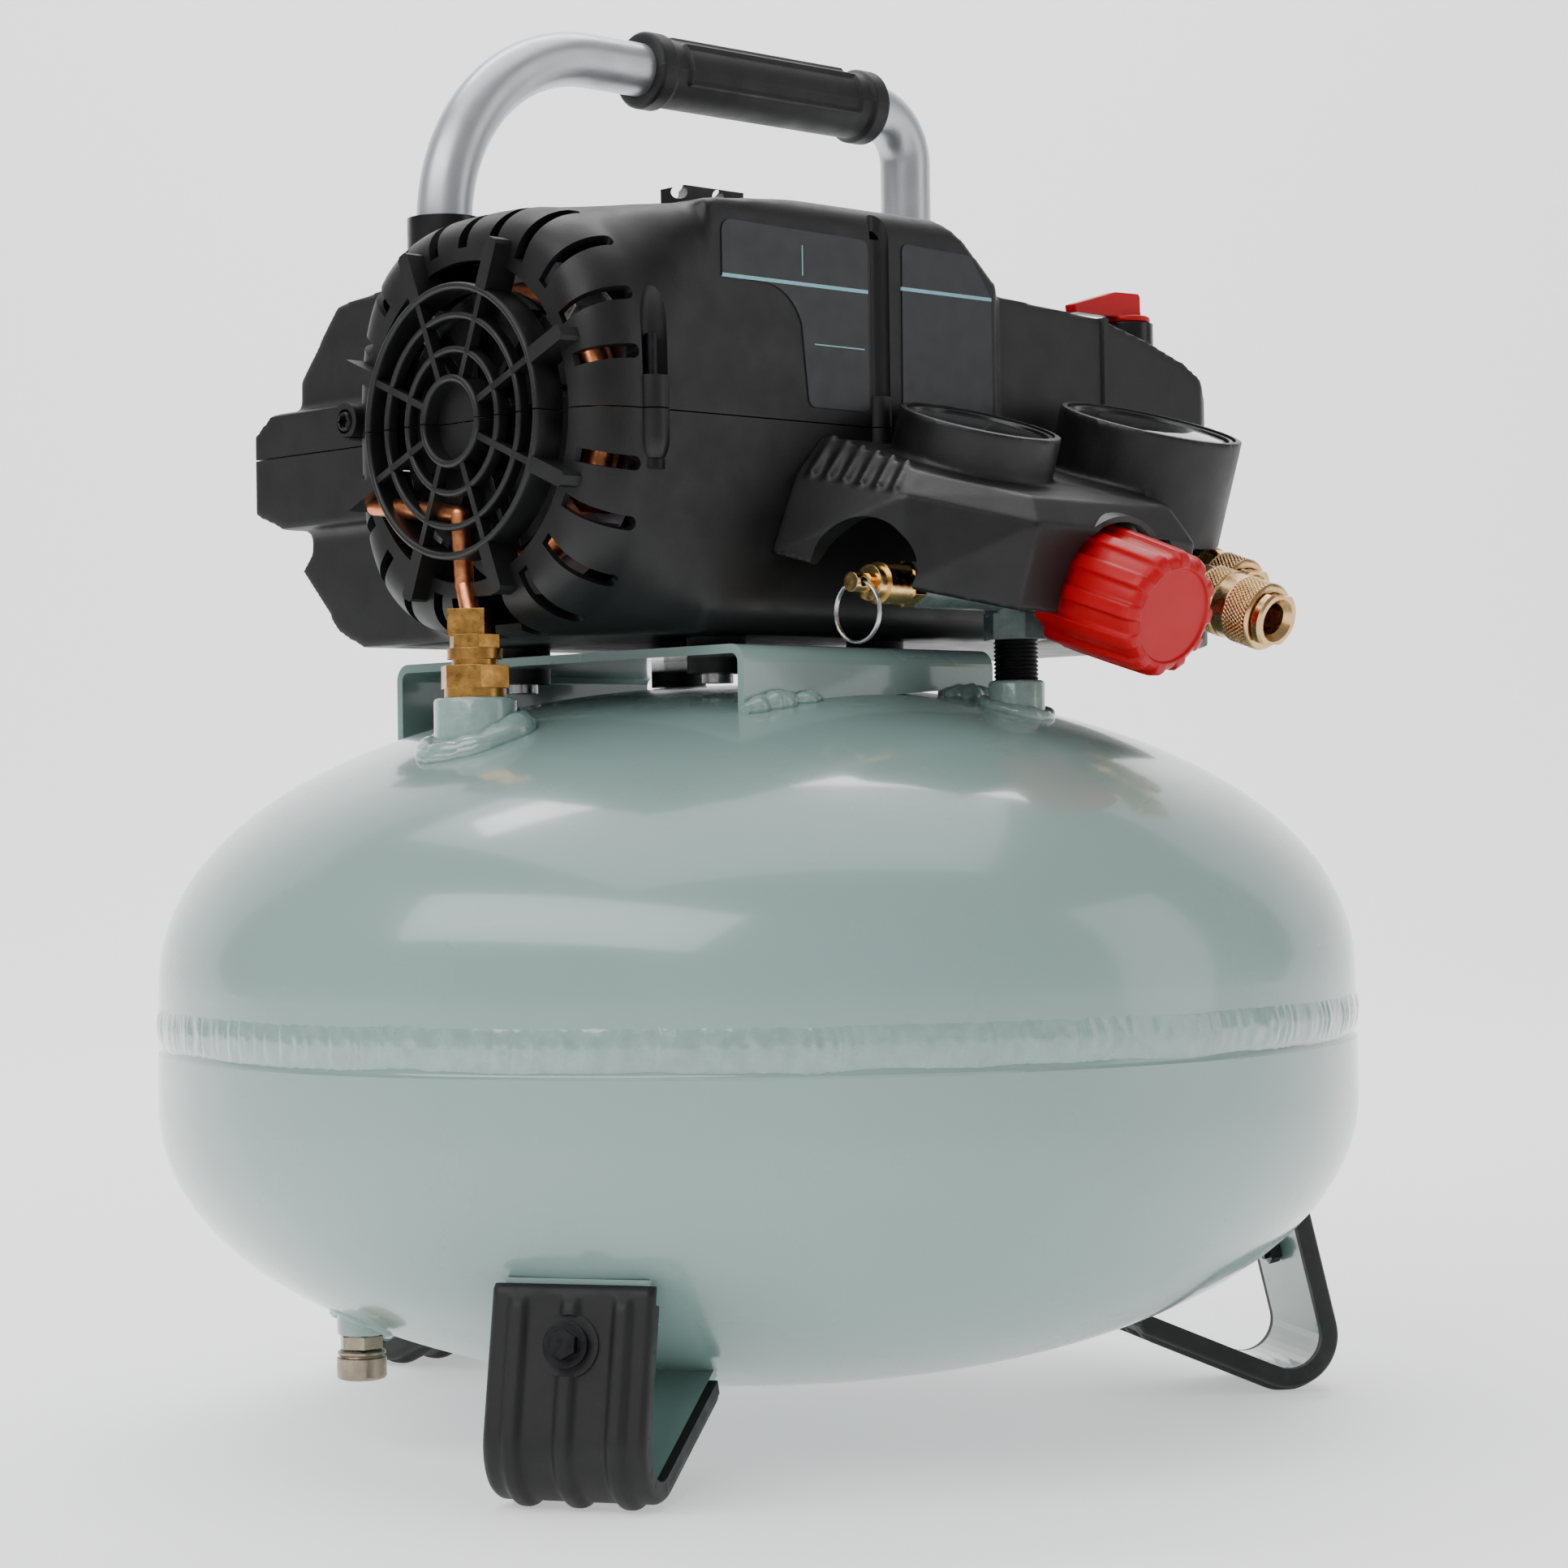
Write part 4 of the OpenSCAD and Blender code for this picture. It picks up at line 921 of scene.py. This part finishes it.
def gauges():
    """Bezel, domed glass and dial tick marks; no numbers are drawn on the dials."""
    bezels, lenses, marks = [], [], []
    for x, y, rim, r in CUPS.values():
        outer = r - 2.4
        ring = [(outer, rim - 16), (outer, rim - 1.4), (outer - 0.5, rim - 0.7), (outer - 1.8, rim - 0.7),
                (outer - 2.4, rim - 1.6), (outer - 2.4, rim - 16)]
        bezels.append(lathe("bezel", ring, "z", (x, y, 0), 96, True))
        glass_r = outer - 2.45
        top = [(max(glass_r * sin(t), 0.05), rim - 1.9 + 1.3 * cos(t)) for t in np.linspace(0, pi / 2, 14)]
        under = [(max(glass_r * sin(t), 0.05), rim - 3.1 + 1.0 * cos(t)) for t in np.linspace(pi / 2, 0, 14)]
        lenses.append(lathe("lens", top + under, "z", (x, y, 0), 96))
        face = rim - 10 + 0.8
        for i in range(0, 46):
            turn = radians(225 - 6 * i)
            major = i % 5 == 0
            inner, outer_r = glass_r * (0.74 if major else 0.82), glass_r * 0.9
            tick = block((inner, outer_r), (-0.35 if major else -0.18, 0.35 if major else 0.18),
                         (face, face + 0.12))
            tick.data.transform(Matrix.Translation((x, y, 0)) @ Matrix.Rotation(turn, 4, "Z"))
            marks.append(tick)
    place(joined("bezels", bezels), "gauge_bezels", SMOOTH_PLASTIC, "black_steel", stands_for=["gauge_cases"],
          move=CONSOLE)
    place(joined("lenses", lenses), "gauge_domed_lenses", GLASS, "lens", stands_for=["gauge_lenses"],
          move=CONSOLE)
    place(joined("marks", marks), "gauge_dial_marks", DIAL_INK, "dial", move=CONSOLE)


def knob():
    """The red cap: twelve raised ribs that run over its front edge, and a shallow disc recess."""
    def ribbed(r, h, angles):
        share = np.clip((r - 16.2) / 1.6, 0, 1)
        rib = np.clip((np.cos(12 * angles) + 0.12) / 0.5, 0, 1)
        rib = rib * rib * (3 - 2 * rib)
        return r - share * 1.5 * (1 - rib)
    outer = [(21.2, -22), (22, -22.8), (22, -30), (21.7, -45), (21.3, -58), (21.1, -61), (20.6, -62.8),
             (19.4, -64.2), (18, -64.8), (16.2, -65), (15.9, -64.9), (15.4, -64.2), (14.9, -64.2),
             (0.05, -64.2)]
    inner = [(0.05, -61), (14.6, -61), (15, -60), (15, -22)]
    dense = []
    for a, b in zip(outer, outer[1:]):
        dense += [(a[0] + (b[0] - a[0]) * t, a[1] + (b[1] - a[1]) * t) for t in (0, 0.34, 0.67)]
    place(lathe("knob", dense + [outer[-1]] + inner, "y", (KNOB_X, 0, AXIS_Z), 288, True, ribbed),
          "regulator_knob_cap", RED, "red_plastic", "regulator_knob", ["regulator_knob"], 42, CONSOLE)


# ---------------------------------------------------------------- fittings
def knurl(low, high, pitch, radius, depth):
    """Diamond knurling between two heights, pressed into a turned surface."""
    count = round(2 * pi * radius / pitch)

    def shape(r, h, angles):
        inside = min(max((h - low) / 0.5, 0), 1) * min(max((high - h) / 0.5, 0), 1)
        if r < radius - 0.2 or inside <= 0:
            return np.full(len(angles), float(r))
        along = h / pitch * 2 * pi / 1.25
        wave = np.abs(np.sin((count * angles + along) / 2)) * np.abs(np.sin((count * angles - along) / 2))
        return r - depth * inside * (1 - np.sqrt(wave))
    return shape


def coupler_sleeves():
    for side, (x, y) in COUPLERS.items():
        front = y - COUPLER_LEN
        r = 11.5
        front_band, back_band = (front + 5.0, front + 14.6), (front + 21.4, front + 28.4)
        outline = [(8.7, front + 4), (r - 1.0, front + 4), (r - 0.3, front + 4.5), (r, front + 5.0)]
        outline += [(r, h) for h in np.linspace(*front_band, 60)]
        outline += [(r, front + 15), (r - 0.5, front + 15.4), (r - 0.5, front + 20.6), (r, front + 21)]
        outline += [(r, h) for h in np.linspace(*back_band, 46)]
        outline += [(r, front + 28.8), (r - 1.2, front + 30), (r - 1.2, front + 35.2), (r - 1.8, front + 36),
                    (8.7, front + 36)]

        def pattern(radius, h, angles, bands=(front_band, back_band)):
            for low, high in bands:
                if low <= h <= high:
                    return knurl(low, high, 1.5, 11.5, 0.6)(radius, h, angles)
            return np.full(len(angles), float(radius))
        sleeve = lathe("sleeve", outline, "y", (x, 0, AXIS_Z), 432, True, pattern)
        place(sleeve, f"coupler_sleeve_{side}_knurled", WARM_BRASS, "brass", f"coupler_sleeve_{side}",
              [f"coupler_sleeve_{side}"], 32, CONSOLE)


def coupler_bodies():
    """Coupler bodies with a bevelled, two-flat mouth and a hexagon at the back."""
    bodies = []
    for x, y in COUPLERS.values():
        front = y - COUPLER_LEN
        outline = [(3, front + 22), (5.3, front + 21.6), (5.3, front + 2.4), (6.9, front + 0.5), (7.3, front),
                   (8.9, front), (9.8, front + 0.8), (9.8, front + 3.1), (9.4, front + 3.5),
                   (8.4, front + 3.5),
                   (8.4, front + 44), (3, front + 44)]
        body = lathe("body", outline, "y", (x, 0, AXIS_Z), 96, True)
        carve(body, "DIFFERENCE", block((x - 12, x + 12), (front - 1, front + 3.6),
                                        (AXIS_Z + 8.2, AXIS_Z + 14)),
              block((x - 12, x + 12), (front - 1, front + 3.6), (AXIS_Z - 14, AXIS_Z - 8.2)))
        hexagon = [(x + 10.39 * cos(radians(t)), AXIS_Z + 10.39 * sin(radians(t))) for t in range(0, 360, 60)]
        nut = prism(hexagon, "y", y - 8, y)
        carve(nut, "INTERSECT", lathe("round",
                                      [(0.05, y - 8), (9.2, y - 8), (10.4, y - 7), (10.4, y), (0.05, y)], "y",
                                      (x, 0, AXIS_Z), 72))
        bodies += [body, nut]
    place(joined("bodies", bodies), "coupler_body_turnings", WARM_BRASS, "brass",
          stands_for=["coupler_bodies"],
          sharp=32, move=CONSOLE)


def drain_knob():
    """The drain's round knob, with a groove below its collar."""
    low, high = corners("drain_knob")
    x, y = (low.x + high.x) / 2, (low.y + high.y) / 2
    z, r = low.z, (high.x - low.x) / 2
    outline = [(0.05, z + 0.6), (4, z + 0.6), (r - 1.6, z), (r - 0.5, z + 0.4), (r, z + 1.1), (r, z + 7.2),
               (r - 0.7, z + 7.5), (r - 0.9, z + 8.0), (r - 0.3, z + 8.4), (r - 0.3, z + 9.2),
               (r - 1.2, z + 9.8),
               (2, z + 9.8), (2, high.z), (0.05, high.z)]
    place(lathe("drain", outline, "z", (x, y, 0), 96), "drain_knob_turned", NICKEL, "brass", "drain_knob",
          ["drain_knob"], 32)


def threaded_nipple():
    """The dark pipe nipple under the manifold, with its thread."""
    low, high = corners("outlet_nipple")
    x, y = (low.x + high.x) / 2, (low.y + high.y) / 2

    def thread(r, h, angles):
        if r < 7:
            return np.full(len(angles), float(r))
        return r - 0.75 * np.abs(((h / 1.4 - angles / (2 * pi)) % 1) * 2 - 1)
    outline = [(5, low.z), (5, 250.6), (7.6, 250.6)] + [(7.6, h) for h in np.arange(250.8, high.z - 0.2, 0.2)]
    outline += [(7.6, high.z), (3.2, high.z), (3.2, low.z)]
    place(lathe("nipple", outline, "z", (x, y, 0), 96, True, thread), "outlet_nipple_thread", BLACK_STEEL,
          "steel",
          stands_for=["outlet_nipple"], sharp=30)


def pull_ring():
    """A split ring of two turns of spring wire."""
    low, high = corners("pull_ring")
    x, y = (low.x + high.x) / 2, (low.y + high.y) / 2
    z = (low.z + high.z) / 2
    radius = (high.z - low.z) / 2 - 0.6
    turns = np.linspace(0, 4 * pi - 0.25, 240)
    path = [(x - 0.65 + 1.3 * t / (4 * pi), y + radius * sin(t + 0.6), z + radius * cos(t + 0.6))
            for t in turns]
    place(tube("ring", path, 0.55, 14), "split_pull_ring", STEEL, "steel", "pull_ring", ["pull_ring"])


def switch_knob():
    """The red rotary lever on the pressure switch: a disc and a long tapered bar."""
    disc = lathe("disc", [(0.05, 380), (3, 380), (3, 386.3), (7.8, 386.3), (8.4, 386.8), (8.4, 388.2),
                          (7.8, 388.8),
                          (0.05, 388.8)], "z", (*LEVER, 0), 64)
    x, y = LEVER
    bar = prism([(x - 31, 388), (x - 31.4, 391), (x - 9, 397.2), (x + 3.6, 397.6), (x + 4.6, 396.6),
                 (x + 4.9, 388)],
                "y", y - 2.6, y + 2.6)
    form = fuse("lever", [disc, bar], 0.4, 2)
    place(form, "switch_lever_knob", RED, "red_plastic", "switch_lever", ["switch_lever"])


tank_shells()
girth_bead()
tank_sockets()
bracket_welds()
foot_rubbers()
shroud()
front_screw()
labels()
grip(*handle())
console()
gauges()
knob()
coupler_sleeves()
coupler_bodies()
drain_knob()
threaded_nipple()
pull_ring()
switch_knob()


# ---------------------------------------------------------------- stage, light and camera
def backdrop():
    """A pale floor that curves up into a pale wall behind the object."""
    ground = -0.0002
    profile = [(-4, ground), (2.2, ground)] + [(2.2 + 1.3 * sin(t), ground + 1.3 * (1 - cos(t)))
                                               for t in np.linspace(0, pi / 2, 16)[1:]] + [(3.5, 5)]
    verts, faces = [], []
    ahead = Vector((0.687, 0.727, 0))
    side = Vector((ahead.y, -ahead.x, 0))
    for far, z in profile:
        for across in (-6, 6):
            verts.append(ahead * far + side * across + Vector((0, 0, z)))
    for i in range(len(profile) - 1):
        faces.append((2 * i, 2 * i + 1, 2 * i + 3, 2 * i + 2))
    mesh = bpy.data.meshes.new("backdrop")
    mesh.from_pydata(verts, [], faces)
    floor = bpy.data.objects.new("backdrop", mesh)
    bpy.context.scene.collection.objects.link(floor)
    paper = Shade("studio_paper", (0.88, 0.88, 0.88), 0.75, Emission_Color=(1, 1, 1, 1),
                  Emission_Strength=0.55)
    paper.rough(paper.noise(60, 2), 0.7, 0.8)
    mesh.materials.append(paper.relief((paper.noise(30, 2), 0.05)))
    mesh.shade_smooth()


def softbox(name, place_at, aim, size, power):
    data = bpy.data.lights.new(name, "AREA")
    data.shape = "RECTANGLE"
    data.size, data.size_y = size
    data.energy = power
    lamp = bpy.data.objects.new(name, data)
    bpy.context.scene.collection.objects.link(lamp)
    lamp.location = place_at
    lamp.rotation_euler = (Vector(aim) - Vector(place_at)).to_track_quat("-Z", "Y").to_euler()


def studio():
    backdrop()
    softbox("key", (-2.3, -0.2, 2.1), (0, 0, 0.22), (3.2, 1.3), 62)
    softbox("fill", (1.7, -2.3, 1.0), (0, 0, 0.25), (1.2, 2.2), 12)
    softbox("top", (0.1, 0.2, 2.4), (0, 0, 0.2), (2.4, 2.4), 34)
    softbox("wall", (0.9, 1.2, 3.2), (1.6, 2.6, 0.9), (3.0, 1.0), 90)
    world = bpy.data.worlds.new("studio")
    bpy.context.scene.world = world
    world.use_nodes = True
    sky = world.node_tree.nodes["Background"]
    sky.inputs["Color"].default_value = (1, 1, 1, 1)
    sky.inputs["Strength"].default_value = 0.3


def camera():
    """Low and level, looking at the corner between the fan end and the gauge side."""
    heading, pitch, roll = radians(43.39), radians(0.54), radians(-0.82)
    data = bpy.data.cameras.new("camera")
    data.sensor_width = 36
    data.lens = 84.67
    view = bpy.data.objects.new("camera", data)
    bpy.context.scene.collection.objects.link(view)
    ahead = Vector((sin(heading) * cos(pitch), cos(heading) * cos(pitch), sin(pitch)))
    look = ahead.to_track_quat("-Z", "Y").to_matrix().to_4x4()
    view.matrix_world = Matrix.Translation((-0.8769, -0.9423, 0.2054)) @ look @ Matrix.Rotation(roll, 4, "Z")
    bpy.context.scene.camera = view


studio()
camera()
